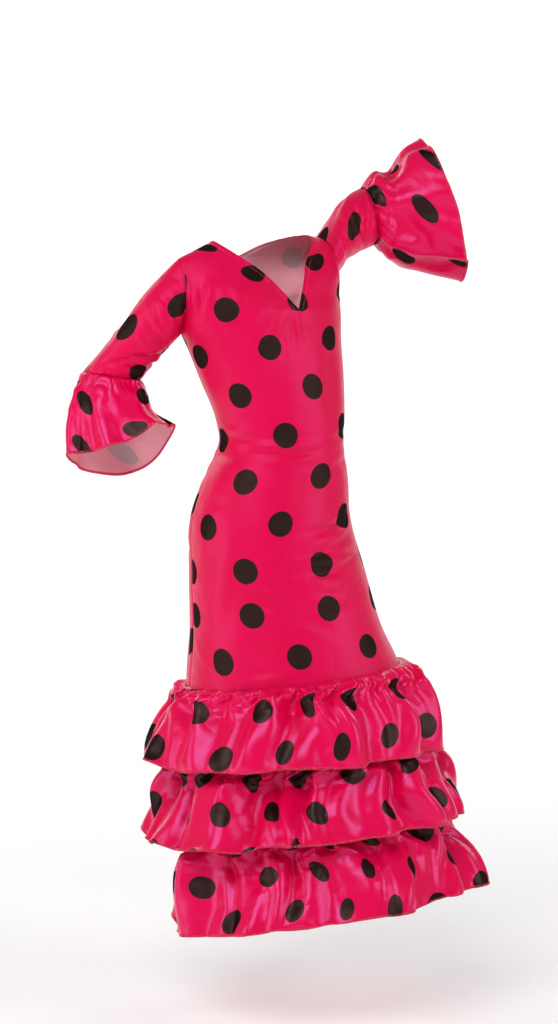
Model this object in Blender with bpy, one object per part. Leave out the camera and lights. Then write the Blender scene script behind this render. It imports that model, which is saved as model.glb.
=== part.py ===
"""A girl's flamenco dress, hollow, in the pose in which it is worn.

A fitted V-necked dress in stretch satin. Its two panels run from the shoulders to the lowest ruffle's
seam, the sleeves end above the elbow in a gathered bell cuff, and three gathered ruffles hang over
each other round the skirt. Every piece of cloth is one object, a thin wall made from its middle
surface by a Solidify modifier, and pieces that are sewn together stay a small gap apart.

Metres, +Z up. The origin lies between the shoulders, where the wearer holds the dress up. -Y is the
side from which the pose is seen, +X is on the viewer's right. "Left" and "right" are the wearer's:
the right arm hangs on the viewer's left, the left arm is raised on the viewer's right.
"""

import math
from collections import namedtuple

import bpy
import numpy as np

# ---------------------------------------------------------------- driving dimensions, in metres
CLOTH = 0.0014  # thickness of the cloth wall
GAP = 0.0003  # what sewn pieces stay apart
TURN = 2 * math.pi

# Rings of the dress's tube, from the lowest ruffle's seam up to the chest. level is the ring's height,
# x and y its centre, wide its half width, front and back its half depths, turn how far it faces
# towards +X in degrees, rise its slope along X, seam how far behind the middle of the wearer's side
# the side seams run, in degrees.
Ring = namedtuple("Ring", "level x y wide front back turn rise seam")
TUBE = [
    Ring(-0.716, 0.069, 0.000, 0.149, 0.124, 0.120, 17, 0.125, 2),
    Ring(-0.610, 0.053, 0.000, 0.139, 0.119, 0.116, 18, 0.110, 2),
    Ring(-0.516, 0.043, 0.000, 0.133, 0.114, 0.112, 19, 0.105, 2),
    Ring(-0.465, 0.035, 0.000, 0.120, 0.106, 0.108, 20, 0.060, 3),
    Ring(-0.387, 0.024, 0.000, 0.109, 0.096, 0.101, 22, 0.020, 6),
    Ring(-0.314, 0.016, 0.000, 0.098, 0.087, 0.092, 24, 0.000, 10),
    Ring(-0.271, 0.022, 0.000, 0.090, 0.079, 0.080, 26, 0.000, 13),
    Ring(-0.222, 0.028, 0.000, 0.077, 0.073, 0.065, 29, 0.000, 16),
    Ring(-0.190, 0.026, 0.000, 0.082, 0.072, 0.064, 31, 0.000, 18),
    Ring(-0.151, 0.018, 0.000, 0.092, 0.073, 0.067, 34, 0.000, 18),
    Ring(-0.100, 0.007, 0.000, 0.104, 0.075, 0.071, 36, 0.000, 18),
]
SQUARENESS = 0.90  # 1 makes the rings ellipses, less makes them squarer
CHEST = TUBE[-1]
SEAM_SLACK = 0.0001  # added at each edge of a seam, where the walls aren't quite in line
SIDE_SEAM_LAP = 0.006  # how far the panels reach below the lowest ruffle's seam

# The yoke: what each shoulder's panels run to above the chest ring. Points are (x, y, z) in the chest's
# own frame, x to the wearer's left and y to the back. A row of the grid is a step up from the chest
# ring, and the panels meet in the shoulder seam in the last row. The armhole starts at the armpit.
YOKE_ROWS = 9
CHEST_ROUND = 1.5  # how soon the chest's roundness flattens above the chest ring
ARM_ROW = 6  # of the points halfway up the armhole
ROW_STEP = 0.010  # height of a row by the chest ring
LAST_STEP = 0.25  # the last row but one lies this close to the shoulder seam
Yoke = namedtuple("Yoke", "name sign armpit_row armpit front_arm back_arm shoulder neck")
YOKES = [
    Yoke(
        name="right",
        sign=-1,
        armpit_row=1,
        armpit=(-0.1120, 0.018, -0.090),
        front_arm=(-0.1240, -0.012, -0.038),
        back_arm=(-0.1060, 0.046, -0.038),
        shoulder=(-0.1190, 0.010, 0.003),
        neck=(-0.0700, 0.008, 0.024),
    ),
    Yoke(
        name="left",
        sign=1,
        armpit_row=4,
        armpit=(0.1080, 0.016, -0.040),
        front_arm=(0.0930, -0.026, -0.008),
        back_arm=(0.0960, 0.048, -0.006),
        shoulder=(0.0970, 0.012, 0.030),
        neck=(0.0600, 0.008, 0.032),
    ),
]
# The neck: the V's point in front and the scoop's middle behind, each at the grid's row it is
# reached in, and the points halfway from there to the shoulder, by how far they stand off a
# straight line, out to the front or back and up.
Neckline = namedtuple("Neckline", "row point middle_row out up")
V_NECK = Neckline(row=3, point=(0.000, -0.0740, -0.060), middle_row=6, out=-0.012, up=0.004)
BACK_NECK = Neckline(row=7, point=(0.000, 0.0560, 0.006), middle_row=8, out=0.008, up=0.003)

# Hoops of a sleeve and its cuff, down the arm. x, y and z are the centre, out the half size towards the
# outside of the arm and deep that along the line of sight, roll the direction of the outside in the
# X-Z plane and lean how far the hoop's front tips down the arm, in degrees, and sag how far its front
# and back hang down the arm.
Hoop = namedtuple("Hoop", "x y z out deep roll lean sag", defaults=[0.0])
SLEEVES = {
    "right": [
        Hoop(-0.119, -0.056, -0.068, 0.0355, 0.034, 114, -8),
        Hoop(-0.139, -0.046, -0.092, 0.0310, 0.032, 135, -8),
        Hoop(-0.163, -0.030, -0.121, 0.0310, 0.031, 157, -6),
        Hoop(-0.181, -0.016, -0.142, 0.0355, 0.033, 171, 0),
    ],
    "left": [
        Hoop(0.114, 0.086, 0.044, 0.0370, 0.034, 95, 18),
        Hoop(0.141, 0.108, 0.059, 0.0370, 0.034, 104, 16),
    ],
}
CUFFS = {
    "right": [
        Hoop(-0.183, -0.018, -0.160, 0.0450, 0.046, 178, -4, 0.002),
        Hoop(-0.182, -0.024, -0.190, 0.0520, 0.054, 186, -11, 0.010),
        Hoop(-0.171, -0.030, -0.223, 0.0670, 0.062, 199, -20, 0.022),
    ],
    "left": [
        Hoop(0.149, 0.109, 0.062, 0.0500, 0.043, 99, 8),
        Hoop(0.172, 0.114, 0.056, 0.0600, 0.050, 98, 8),
        Hoop(0.199, 0.120, 0.066, 0.0790, 0.064, 102, 9),
        Hoop(0.235, 0.124, 0.070, 0.0930, 0.078, 108, 10),
    ],
}
ARMHOLE_GAP = 0.0020  # the sleeve's first ring beyond the armhole's edge, so that its wall clears
CUFF_GAP = 0.0016  # the cuff's first ring beyond the sleeve's end

# The ruffles round the skirt. seam is the level of the ring that each is sewn to, height the strip's,
# x and y the hem's centre, wide and deep its half sizes and turn its facing in degrees. The cloth
# arches out below its seam: puff_left and puff_right say how early at -X and +X, 1 being not at all.
# tilt is how far the hem falls towards +X against its seam, as a slope, and stand how far the middle
# of the ruffle's wall lies from that of the panel at the seam.
Tier = namedtuple("Tier", "name seam height x y wide deep turn puff_left puff_right tilt stand")
TIERS = [
    Tier("ruffle_top", -0.516, 0.118, 0.038, -0.004, 0.187, 0.167, 16, 1.4, 3.0, 0.03, 0.0016),
    Tier("ruffle_middle", -0.610, 0.117, 0.054, -0.004, 0.196, 0.176, 16, 1.7, 1.05, 0.02, 0.0019),
    Tier("ruffle_bottom", -0.702, 0.126, 0.086, -0.004, 0.197, 0.182, 14, 1.6, 1.25, 0.03, 0.0019),
]
SLANT = 0.955  # straight distance from seam to hem over the strip's height, as the cloth arches
FALL = 1.3  # how late the arched cloth starts to fall

# Folds of a ruffle or cuff at its hem. at is the place round the ring in degrees (0 at +X, -90 at the
# viewer's side; on a cuff 0 at the outside of the arm, 90 in front), width the cloth in the fold and
# swing how far the cloth turns out of the ring's direction and back, in degrees.
Fold = namedtuple("Fold", "at width swing")
FOLDS = {
    "ruffle_top": [
        Fold(-178, 0.075, 52), Fold(-146, 0.050, 30), Fold(-122, 0.048, 34), Fold(-79, 0.074, 76),
        Fold(-55, 0.055, 36), Fold(-31, 0.070, 66), Fold(0, 0.056, 34), Fold(30, 0.056, 36),
        Fold(58, 0.066, 58), Fold(88, 0.058, 44), Fold(118, 0.070, 62), Fold(150, 0.056, 42),
    ],
    "ruffle_middle": [
        Fold(-176, 0.068, 56), Fold(-141, 0.074, 68), Fold(-115, 0.078, 78), Fold(-80, 0.056, 40),
        Fold(-52, 0.062, 44), Fold(-28, 0.056, 38), Fold(-2, 0.060, 48), Fold(26, 0.064, 52),
        Fold(57, 0.060, 46), Fold(90, 0.070, 62), Fold(120, 0.058, 44), Fold(150, 0.064, 56),
    ],
    "ruffle_bottom": [
        Fold(-168, 0.078, 64), Fold(-138, 0.064, 56), Fold(-113, 0.060, 44), Fold(-84, 0.080, 74),
        Fold(-57, 0.054, 40), Fold(-32, 0.060, 46), Fold(-4, 0.066, 54), Fold(24, 0.058, 44),
        Fold(55, 0.070, 60), Fold(86, 0.060, 48), Fold(118, 0.064, 54), Fold(152, 0.058, 44),
    ],
    "cuff_right": [
        Fold(20, 0.050, 46), Fold(75, 0.056, 62), Fold(128, 0.050, 48), Fold(196, 0.054, 54),
        Fold(262, 0.052, 46), Fold(318, 0.046, 40),
    ],
    "cuff_left": [
        Fold(14, 0.052, 40), Fold(92, 0.048, 34), Fold(150, 0.058, 56), Fold(214, 0.050, 44),
        Fold(280, 0.056, 52), Fold(326, 0.046, 36),
    ],
}
TIER_GATHERS = 38
CUFF_GATHERS = 18
GATHER_SWING = 58  # degrees the cloth turns in a gather, just below the seam
GATHER_START = 0.06  # share of the height at which the gathers are full
GATHER_REACH = 0.30  # share of the height over which they die out
GATHER_UNEVEN = 0.16  # how far gathers are shifted along the seam, over their spacing
WAVE_SWING = 26  # degrees the cloth turns in the wider waves that follow, one for two gathers
WAVE_START = 0.30  # share of the height at which the waves are full
FOLD_GROWTH = 0.8  # how a fold of the hem grows down the strip, 1 being evenly
TIER_LIFTED = 0.35  # share of the height over which gathers stand wholly outside the panel
CUFF_LIFTED = 0.05  # a cuff has no cloth inside it, so its gathers needn't stand outside it
SQUARE_DOWN_TO = 0.4  # share of the height over which gathers point square to the tube they are on

# How finely each wall is divided. A ruffle has a column on each crest and trough of its gathers.
PANEL_COLUMNS = 20
TUBE_ROWS = 15
SLEEVE_COLUMNS = 24
SLEEVE_ROWS = 8
RUFFLE_LEVELS = [0.0, 0.06, 0.16, 0.32, 0.52, 0.75, 1.0]
FINE = 12  # steps along a gather when the cloth's line is added up

SATIN = (0.76, 0.004, 0.075)  # hot pink, linear


# ---------------------------------------------------------------- curves and rings
def smooth(knots, values, at):
    """A smooth curve through values at rising knots, read at each of at."""
    knots, values = np.asarray(knots, float), np.asarray(values, float)
    at = np.asarray(at, float)
    slopes = np.gradient(values, knots, axis=0)
    i = np.clip(np.searchsorted(knots, at, side="right") - 1, 0, len(knots) - 2)
    span = knots[i + 1] - knots[i]
    u = (at - knots[i]) / span
    weights = (
        (1 + 2 * u) * (1 - u) ** 2,
        u * (1 - u) ** 2 * span,
        u * u * (3 - 2 * u),
        u * u * (u - 1) * span,
    )
    if values.ndim > 1:
        weights = [w[..., None] for w in weights]
    ends = (values[i], slopes[i], values[i + 1], slopes[i + 1])
    return sum(w * end for w, end in zip(weights, ends))


def turned(across, along, degrees):
    """Offsets to the wearer's left and back, turned to world X and Y."""
    angle = np.radians(degrees)
    x = across * np.cos(angle) - along * np.sin(angle)
    y = across * np.sin(angle) + along * np.cos(angle)
    return x, y


def squared(wave):
    return np.sign(wave) * np.abs(wave) ** SQUARENESS


def tube(angle, level):
    """Points on the dress's tube. angle is 0 at the wearer's left side and -90 in front, in degrees."""
    angle, level = np.broadcast_arrays(np.radians(angle), np.asarray(level, float))
    rows = smooth([r.level for r in TUBE], [r[1:] for r in TUBE], level)
    x, y, wide, front, back, turn, rise, _ = np.moveaxis(rows, -1, 0)
    deep = np.where(np.sin(angle) < 0, front, back)
    dx, dy = turned(wide * squared(np.cos(angle)), deep * squared(np.sin(angle)), turn)
    return np.stack([x + dx, y + dy, level + rise * dx], -1)


def chest(point):
    """A point of the chest's own frame, in the world."""
    x, y, z = point
    dx, dy = turned(x, y, CHEST.turn)
    return np.array([CHEST.x + dx, CHEST.y + dy, z])


# ---------------------------------------------------------------- panels
def seam_angle(sign, level):
    """Where a side seam lies on the tube. sign is -1 on the wearer's right and 1 on the left."""
    behind = smooth([r.level for r in TUBE], [r.seam for r in TUBE], level)
    return -180 - behind if sign < 0 else behind


def side_seam(yoke):
    """The side seam from the chest ring to the armpit, as a function of the row."""
    levels = np.array([CHEST.level - ROW_STEP, CHEST.level])
    below = tube(seam_angle(yoke.sign, levels), levels)
    values = np.array([*below, chest(yoke.armpit)])
    return lambda row: smooth([-1, 0, yoke.armpit_row], values, row)


def armhole(yoke):
    """The armhole from the armpit up the front, over the shoulder and down the back to the armpit. Its
    rows go on past the shoulder seam, so that the cloth runs on smoothly."""
    over = 2 * YOKE_ROWS
    rows = [yoke.armpit_row, ARM_ROW, YOKE_ROWS, over - ARM_ROW, over - yoke.armpit_row]
    points = [yoke.armpit, yoke.front_arm, yoke.shoulder, yoke.back_arm, yoke.armpit]
    values = np.array([chest(p) for p in points])
    return lambda row: smooth(rows, values, row)


def neckline(yoke):
    """Half of the neckline, from the V's point over the shoulder to the scoop's middle, by rows."""
    rows, points = [YOKE_ROWS], [yoke.neck]
    for line, front in ((V_NECK, True), (BACK_NECK, False)):
        share = (line.middle_row - line.row) / (YOKE_ROWS - line.row)
        middle = [a + share * (b - a) for a, b in zip(line.point, yoke.neck)]
        middle[1] += line.out
        middle[2] += line.up
        there = [line.row, line.middle_row]
        if front:
            rows, points = there + rows, [line.point, middle] + points
        else:
            rows += [2 * YOKE_ROWS - r for r in reversed(there)]
            points += [middle, line.point]
    values = np.array([chest(p) for p in points])
    return lambda row: smooth(rows, values, row)


def yoke_grid(yoke, front, columns):
    """Rows of points over one shoulder's panel, from the chest ring up and from the arm to the neck."""
    row = np.array([*range(YOKE_ROWS), YOKE_ROWS - LAST_STEP, YOKE_ROWS])
    past = row if front else 2 * YOKE_ROWS - row
    line = V_NECK if front else BACK_NECK

    outer = np.where((row < yoke.armpit_row)[:, None], side_seam(yoke)(row), armhole(yoke)(past))
    middle_angle = -90 if front else 90
    below = [tube(middle_angle, CHEST.level - ROW_STEP), tube(middle_angle, CHEST.level)]
    up_middle = smooth([-1, 0, line.row], np.array([*below, chest(line.point)]), row)
    inner = np.where((row < line.row)[:, None], up_middle, neckline(yoke)(past))

    side_angle = seam_angle(yoke.sign, CHEST.level)
    if not front and side_angle < 0:
        side_angle += 360
    share = np.linspace(0, 1, columns + 1)
    ring = tube(side_angle + (middle_angle - side_angle) * share, CHEST.level)
    ring_bulge = ring - (ring[0] + (ring[-1] - ring[0]) * share[:, None])
    keep = ((1 - (row / YOKE_ROWS) ** 2) ** CHEST_ROUND)[:, None, None]
    return outer[:, None] + (inner - outer)[:, None] * share[:, None] + ring_bulge * keep


def panel(name, front):
    """The front or back panel, from the lowest ruffle's seam to the shoulders."""
    levels = np.linspace(TIERS[-1].seam - SIDE_SEAM_LAP, CHEST.level, TUBE_ROWS + 1)
    first, last = seam_angle(-1, levels), seam_angle(1, levels)
    if not front:
        first, last = last, first + 360
    inset = math.degrees((GAP / 2 + SEAM_SLACK) / CHEST.wide)
    share = np.linspace(0, 1, PANEL_COLUMNS + 1)
    angles = (first + inset)[:, None] * (1 - share) + (last - inset)[:, None] * share
    lower = tube(angles, levels[:, None])
    sheet = Sheet()
    sheet.add(lower)
    towards = np.array([*turned(0.0, -1.0 if front else 1.0, CHEST.turn), 0])
    for yoke in YOKES:
        grid = yoke_grid(yoke, front, PANEL_COLUMNS // 2)
        on_first_edge = (yoke.name == "right") == front
        rim = lower[-1] if on_first_edge else lower[-1][::-1]
        grid[0] = rim[: PANEL_COLUMNS // 2 + 1]
        grid[1 : yoke.armpit_row + 1, 0] += towards * (GAP / 2 + SEAM_SLACK)
        grid[-1] += towards * (GAP / 2 + SEAM_SLACK)
        sheet.add(grid, flipped=not on_first_edge)
    return sheet.wall(name)


# ---------------------------------------------------------------- sleeves and cuffs
def armhole_ring(yoke, share):
    """The armhole's edge: 0 at the shoulder, a quarter in front, a half at the armpit."""
    half = YOKE_ROWS - yoke.armpit_row
    past = YOKE_ROWS - 2 * half * (np.asarray(share) % 1)
    return armhole(yoke)(np.where(past < yoke.armpit_row, past + 2 * half, past))


def hoop_ring(hoop, share):
    """A hoop's points: 0 at the outside of the arm, a quarter in front."""
    roll, lean = math.radians(hoop.roll), math.radians(hoop.lean)
    handed = 1 if hoop.x > 0 else -1
    out = np.array([math.cos(roll), 0, math.sin(roll)])
    down_arm = handed * np.array([math.sin(roll), 0, -math.cos(roll)])
    deep = math.cos(lean) * np.array([0, 1, 0]) - math.sin(lean) * down_arm
    turn = TURN * np.asarray(share)[..., None]
    centre = np.array([hoop.x, hoop.y, hoop.z])
    plane = hoop.out * np.cos(turn) * out - hoop.deep * np.sin(turn) * deep
    return centre + plane + hoop.sag * np.sin(turn) ** 2 * down_arm


def loft(rings, share, down):
    """Points between rings, which are functions of share. down runs from 0 at the first to 1."""
    centres = np.array([ring(np.linspace(0, 1, 24, endpoint=False)).mean(0) for ring in rings])
    steps = np.linalg.norm(np.diff(centres, axis=0), axis=1)
    knots = np.concatenate([[0], np.cumsum(steps)]) / steps.sum()
    share, down = np.broadcast_arrays(share, np.asarray(down, float))
    values = np.array([ring(share) for ring in rings])
    slopes = np.gradient(values, knots, axis=0)
    i = np.clip(np.searchsorted(knots, down, side="right") - 1, 0, len(knots) - 2)
    take = lambda table, at: np.take_along_axis(table, at[None, ..., None], 0)[0]
    span = knots[i + 1] - knots[i]
    u = (down - knots[i]) / span
    return (
        ((1 + 2 * u) * (1 - u) ** 2)[..., None] * take(values, i)
        + (u * (1 - u) ** 2 * span)[..., None] * take(slopes, i)
        + (u * u * (3 - 2 * u))[..., None] * take(values, i + 1)
        + (u * u * (u - 1) * span)[..., None] * take(slopes, i + 1)
    )


def sleeve_surface(yoke):
    """The sleeve's middle surface as a function of share round the arm and of down."""
    hoops = SLEEVES[yoke.name]
    edge = lambda share: armhole_ring(yoke, share)
    round_once = np.linspace(0, 1, 24, endpoint=False)
    way = np.array(hoops[0][:3]) - edge(round_once).mean(0)
    start = lambda share: edge(share) + ARMHOLE_GAP * way / np.linalg.norm(way)
    rings = [start] + [lambda share, h=h: hoop_ring(h, share) for h in hoops]
    return lambda share, down: loft(rings, share, down)


def cuff_surface(side):
    """The cuff's smooth surface, from just past the sleeve's end to the hem."""
    last, after = SLEEVES[side][-1], CUFFS[side][0]
    way = np.array(after[:3]) - np.array(last[:3])
    centre = np.array(last[:3]) + CUFF_GAP * way / np.linalg.norm(way)
    first = Hoop(*centre, last.out, last.deep, last.roll, last.lean)
    rings = [lambda share, h=h: hoop_ring(h, share) for h in [first, *CUFFS[side]]]
    return lambda share, down: loft(rings, share, down)


# ---------------------------------------------------------------- ruffles
def tier_surface(tier):
    """A ruffle's smooth surface: share 0 at +X, a quarter at the back; down 0 at its seam, 1 at its hem."""

    def hem_plan(angle):
        angle = np.radians(angle)
        dx, dy = turned(tier.wide * squared(np.cos(angle)), tier.deep * squared(np.sin(angle)), tier.turn)
        return np.stack([tier.x + dx, tier.y + dy], -1)

    # Angles that lie evenly along the hem.
    around = np.linspace(0, 360, 361)
    steps = np.linalg.norm(np.diff(hem_plan(around), axis=0), axis=1)
    run = np.concatenate([[0], np.cumsum(steps)]) / steps.sum()

    def surface(share, down):
        share, down = np.broadcast_arrays(np.asarray(share) % 1, np.asarray(down, float))
        angle = np.interp(share, run, around)
        seam = tube(angle, tier.seam)
        facing = np.stack([np.cos(np.radians(angle + tier.turn)), np.sin(np.radians(angle + tier.turn))], -1)
        start = seam[..., :2] + facing * tier.stand
        flare = hem_plan(angle) - start
        drop = np.sqrt((SLANT * tier.height) ** 2 - (flare**2).sum(-1))
        rightness = (1 + np.cos(np.radians(angle))) / 2
        puff = tier.puff_left + (tier.puff_right - tier.puff_left) * rightness
        plan = start + flare * (1 - (1 - down) ** puff)[..., None]
        height = seam[..., 2] - drop * down**FALL - tier.tilt * (plan[..., 0] - tier.x) * down
        return np.concatenate([plan, height[..., None]], -1)

    return surface


def fold_line(folds, ring_length, fine):
    """The turn of a hem's cloth out of its ring, in radians, at fine even steps of the strip, and the
    strip's length. Each fold takes more cloth than the ring under it, so the strip is longer."""
    wave = np.linspace(0, 1, 200)
    first = folds[0].at
    starts, used = [], 0.0
    for fold in folds:
        kept = np.cos(math.radians(fold.swing) * np.sin(TURN * wave)).mean()
        extra = fold.width * (1 - kept)
        starts.append((fold.at - first) / 360 * ring_length + used - fold.width * kept / 2)
        used += extra
    length = ring_length + used
    place = np.arange(fine) / fine * length
    turn = np.zeros(fine)
    for fold, start in zip(folds, starts):
        along = ((place - start) % length) / fold.width
        turn += np.where(along < 1, math.radians(fold.swing) * np.sin(TURN * np.minimum(along, 1)), 0)
    return turn, length


def gather_phase(share, count):
    """The phase of uneven gathers round a strip, in turns. It rises by count once round."""
    slow, quick = np.sin(TURN * 5 * share + 1.0), np.sin(TURN * 11 * share + 2.0)
    return count * share + GATHER_UNEVEN * (slow + 0.6 * quick)


def ruffle_grid(surface, folds, count, lifted):
    """Rows of points of a gathered strip on its smooth surface, at the given shares down. Down to
    lifted, the gathers stand on the surface, and past it they go through it. By the seam they point
    away from the axis of the tube that they are sewn to."""
    ends = [surface(np.linspace(0, 1, 24, endpoint=False), down).mean(0) for down in (0.0, 1.0)]
    axis = (ends[1] - ends[0]) / np.linalg.norm(ends[1] - ends[0])
    fine = count * 2 * FINE
    share = np.arange(fine) / fine
    hem = surface(share, 1.0)
    ring_length = np.linalg.norm(np.roll(hem, -1, 0) - hem, axis=1).sum()
    folds_turn, length = fold_line(folds, ring_length, fine)
    first = folds[0].at / 360
    phase = gather_phase(share, count)
    rows = []
    for down in RUFFLE_LEVELS:
        fade = math.exp(-((down / GATHER_REACH) ** 2))
        gather = math.radians(GATHER_SWING) * fade * min(1, down / GATHER_START)
        wave = math.radians(WAVE_SWING) * min(1, down / WAVE_START) * math.sqrt(1 - down)
        turn = folds_turn * down**FOLD_GROWTH + gather * np.sin(TURN * phase)
        turn += wave * np.sin(TURN * gather_phase(share, count // 2) + 0.5)
        ahead, out = np.cos(turn), np.sin(turn)
        out = out - out.mean()
        place = np.concatenate([[0], np.cumsum(ahead)[:-1]]) / ahead.sum()
        height = np.concatenate([[0], np.cumsum(out)[:-1]]) * length / fine
        near = max(0, 1 - down / lifted)
        height -= near * height.min() + (1 - near) * height.mean()
        at = first + place
        base = surface(at, down)
        step = 1e-3
        along = surface(at + step, down) - surface(at - step, down)
        fall = surface(at, min(1, down + step)) - surface(at, max(0, down - step))
        normal = np.cross(fall, along)
        along_axis = (normal @ axis)[:, None] * axis
        normal -= along_axis * max(0, 1 - down / SQUARE_DOWN_TO)
        normal /= np.linalg.norm(normal, axis=1)[:, None]
        rows.append(base + normal * height[:, None])
    crests = (np.arange(2 * count) + 0.5) / 2
    pick = np.interp(crests, phase - phase[0], np.arange(fine)).round().astype(int) % fine
    return np.array(rows)[:, np.sort(pick)]


# ---------------------------------------------------------------- walls
class Sheet:
    """The middle surface of one piece of cloth, put together from grids of points."""

    def __init__(self):
        self.points, self.faces = [], []

    def add(self, grid, flipped=False, closed=False):
        rows, columns = grid.shape[:2]
        first = len(self.points)
        self.points += [tuple(p) for p in grid.reshape(-1, 3)]
        for r in range(rows - 1):
            for c in range(columns if closed else columns - 1):
                beside = (c + 1) % columns
                quad = [r * columns + c, r * columns + beside]
                quad += [(r + 1) * columns + beside, (r + 1) * columns + c]
                self.faces.append([first + i for i in (quad[::-1] if flipped else quad)])

    def wall(self, name):
        mesh = bpy.data.meshes.new(name)
        mesh.from_pydata(self.points, [], self.faces)
        mesh.shade_smooth()
        obj = bpy.data.objects.new(name, mesh)
        bpy.context.scene.collection.objects.link(obj)
        weld = obj.modifiers.new("Weld", "WELD")
        weld.merge_threshold = 0.00005
        solid = obj.modifiers.new("Cloth", "SOLIDIFY")
        solid.thickness = CLOTH
        solid.offset = 0
        solid.use_even_offset = False
        mesh.materials.append(satin(name))
        return obj


def satin(name):
    material = bpy.data.materials.new(name)
    material.use_nodes = True
    shader = material.node_tree.nodes["Principled BSDF"]
    shader.inputs["Base Color"].default_value = (*SATIN, 1)
    shader.inputs["Roughness"].default_value = 0.38
    shader.inputs["Metallic"].default_value = 0.0
    return material


def tube_wall(name, grid):
    sheet = Sheet()
    sheet.add(grid, closed=True, flipped=True)
    return sheet.wall(name)


# ---------------------------------------------------------------- the dress
def make_dress():
    panel("front_panel", front=True)
    panel("back_panel", front=False)
    for tier in TIERS:
        grid = ruffle_grid(tier_surface(tier), FOLDS[tier.name], TIER_GATHERS, TIER_LIFTED)
        tube_wall(tier.name, grid[:, ::-1])
    for yoke in YOKES:
        share = np.arange(SLEEVE_COLUMNS) / SLEEVE_COLUMNS
        down = np.linspace(0, 1, SLEEVE_ROWS + 1)[:, None]
        tube_wall(f"sleeve_{yoke.name}", sleeve_surface(yoke)(share, down))
        name = f"cuff_{yoke.name}"
        grid = ruffle_grid(cuff_surface(yoke.name), FOLDS[name], CUFF_GATHERS, CUFF_LIFTED)
        tube_wall(name, grid)


for old in list(bpy.data.objects):
    bpy.data.objects.remove(old, do_unlink=True)
make_dress()
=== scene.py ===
"""Looks of a child's flamenco dress: satin panels and sleeves, gathered bell cuffs and three ruffles.

Metres, +Z up, -Y towards the viewer, +X on the viewer's right. "Left" and "right" are the wearer's.
Every piece of cloth is a thin shell over a grid of points that also know their place on the flat
cloth, so that dots, weave, seams and creases follow the cloth. The forms repeat the solids' sizes.
"""

import math
from collections import namedtuple

import bpy
import numpy as np
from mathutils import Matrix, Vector
from mathutils.kdtree import KDTree


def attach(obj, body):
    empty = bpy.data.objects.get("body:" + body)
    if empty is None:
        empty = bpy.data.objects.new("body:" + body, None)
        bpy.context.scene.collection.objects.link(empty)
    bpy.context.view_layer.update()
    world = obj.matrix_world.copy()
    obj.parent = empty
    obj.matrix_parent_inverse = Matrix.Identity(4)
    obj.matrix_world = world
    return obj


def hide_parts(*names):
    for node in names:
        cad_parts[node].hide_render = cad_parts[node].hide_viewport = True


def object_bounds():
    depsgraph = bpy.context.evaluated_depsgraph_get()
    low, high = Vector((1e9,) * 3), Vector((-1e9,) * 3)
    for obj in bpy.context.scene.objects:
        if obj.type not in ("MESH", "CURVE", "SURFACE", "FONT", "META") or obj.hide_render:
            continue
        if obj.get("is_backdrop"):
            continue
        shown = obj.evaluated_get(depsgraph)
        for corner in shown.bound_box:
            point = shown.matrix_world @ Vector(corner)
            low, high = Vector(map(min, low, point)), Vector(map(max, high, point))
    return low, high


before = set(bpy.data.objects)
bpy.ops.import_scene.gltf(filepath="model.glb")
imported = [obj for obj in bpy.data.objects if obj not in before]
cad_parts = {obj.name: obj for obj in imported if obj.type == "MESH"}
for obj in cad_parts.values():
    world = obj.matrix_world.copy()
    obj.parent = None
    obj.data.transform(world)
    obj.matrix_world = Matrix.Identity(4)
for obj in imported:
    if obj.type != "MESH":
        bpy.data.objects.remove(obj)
cad_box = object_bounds()

# ---------------------------------------------------------------- the dress's form, as in the solids
CLOTH = 0.0012  # thickness of the cloth
GAP = 0.0003  # what sewn pieces stay apart
TURN = 2 * math.pi

Ring = namedtuple("Ring", "level x y wide front back turn rise seam")
TUBE = [
    Ring(-0.716, 0.069, 0.000, 0.149, 0.124, 0.120, 17, 0.125, 2),
    Ring(-0.610, 0.053, 0.000, 0.139, 0.119, 0.116, 18, 0.110, 2),
    Ring(-0.516, 0.043, 0.000, 0.133, 0.114, 0.112, 19, 0.105, 2),
    Ring(-0.465, 0.035, 0.000, 0.120, 0.106, 0.108, 20, 0.060, 3),
    Ring(-0.387, 0.024, 0.000, 0.109, 0.096, 0.101, 22, 0.020, 6),
    Ring(-0.314, 0.016, 0.000, 0.098, 0.087, 0.092, 24, 0.000, 10),
    Ring(-0.271, 0.022, 0.000, 0.090, 0.079, 0.080, 26, 0.000, 13),
    Ring(-0.222, 0.028, 0.000, 0.077, 0.073, 0.065, 29, 0.000, 16),
    Ring(-0.190, 0.026, 0.000, 0.082, 0.072, 0.064, 31, 0.000, 18),
    Ring(-0.151, 0.018, 0.000, 0.092, 0.073, 0.067, 34, 0.000, 18),
    Ring(-0.100, 0.007, 0.000, 0.104, 0.075, 0.071, 36, 0.000, 18),
]
SQUARENESS = 0.90
CHEST = TUBE[-1]
FOOT = -0.708  # the panels' lower end, under the lowest ruffle's seam
SKIRT_TOP = -0.47  # the ruffles lie on the skirt up to here

YOKE_ROWS = 9
CHEST_ROUND = 1.5
ARM_ROW = 6
ROW_STEP = 0.010
Yoke = namedtuple("Yoke", "name sign armpit_row armpit front_arm back_arm shoulder neck")
YOKES = [
    Yoke(
        name="right",
        sign=-1,
        armpit_row=1,
        armpit=(-0.1120, 0.018, -0.090),
        front_arm=(-0.1240, -0.012, -0.038),
        back_arm=(-0.1060, 0.046, -0.038),
        shoulder=(-0.1190, 0.010, 0.003),
        neck=(-0.0700, 0.008, 0.024),
    ),
    Yoke(
        name="left",
        sign=1,
        armpit_row=4,
        armpit=(0.1080, 0.016, -0.040),
        front_arm=(0.0930, -0.026, -0.008),
        back_arm=(0.0960, 0.048, -0.006),
        shoulder=(0.0970, 0.012, 0.030),
        neck=(0.0600, 0.008, 0.032),
    ),
]
Neckline = namedtuple("Neckline", "row point middle_row out up")
V_NECK = Neckline(row=3, point=(0.000, -0.0740, -0.060), middle_row=6, out=-0.012, up=0.004)
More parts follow.
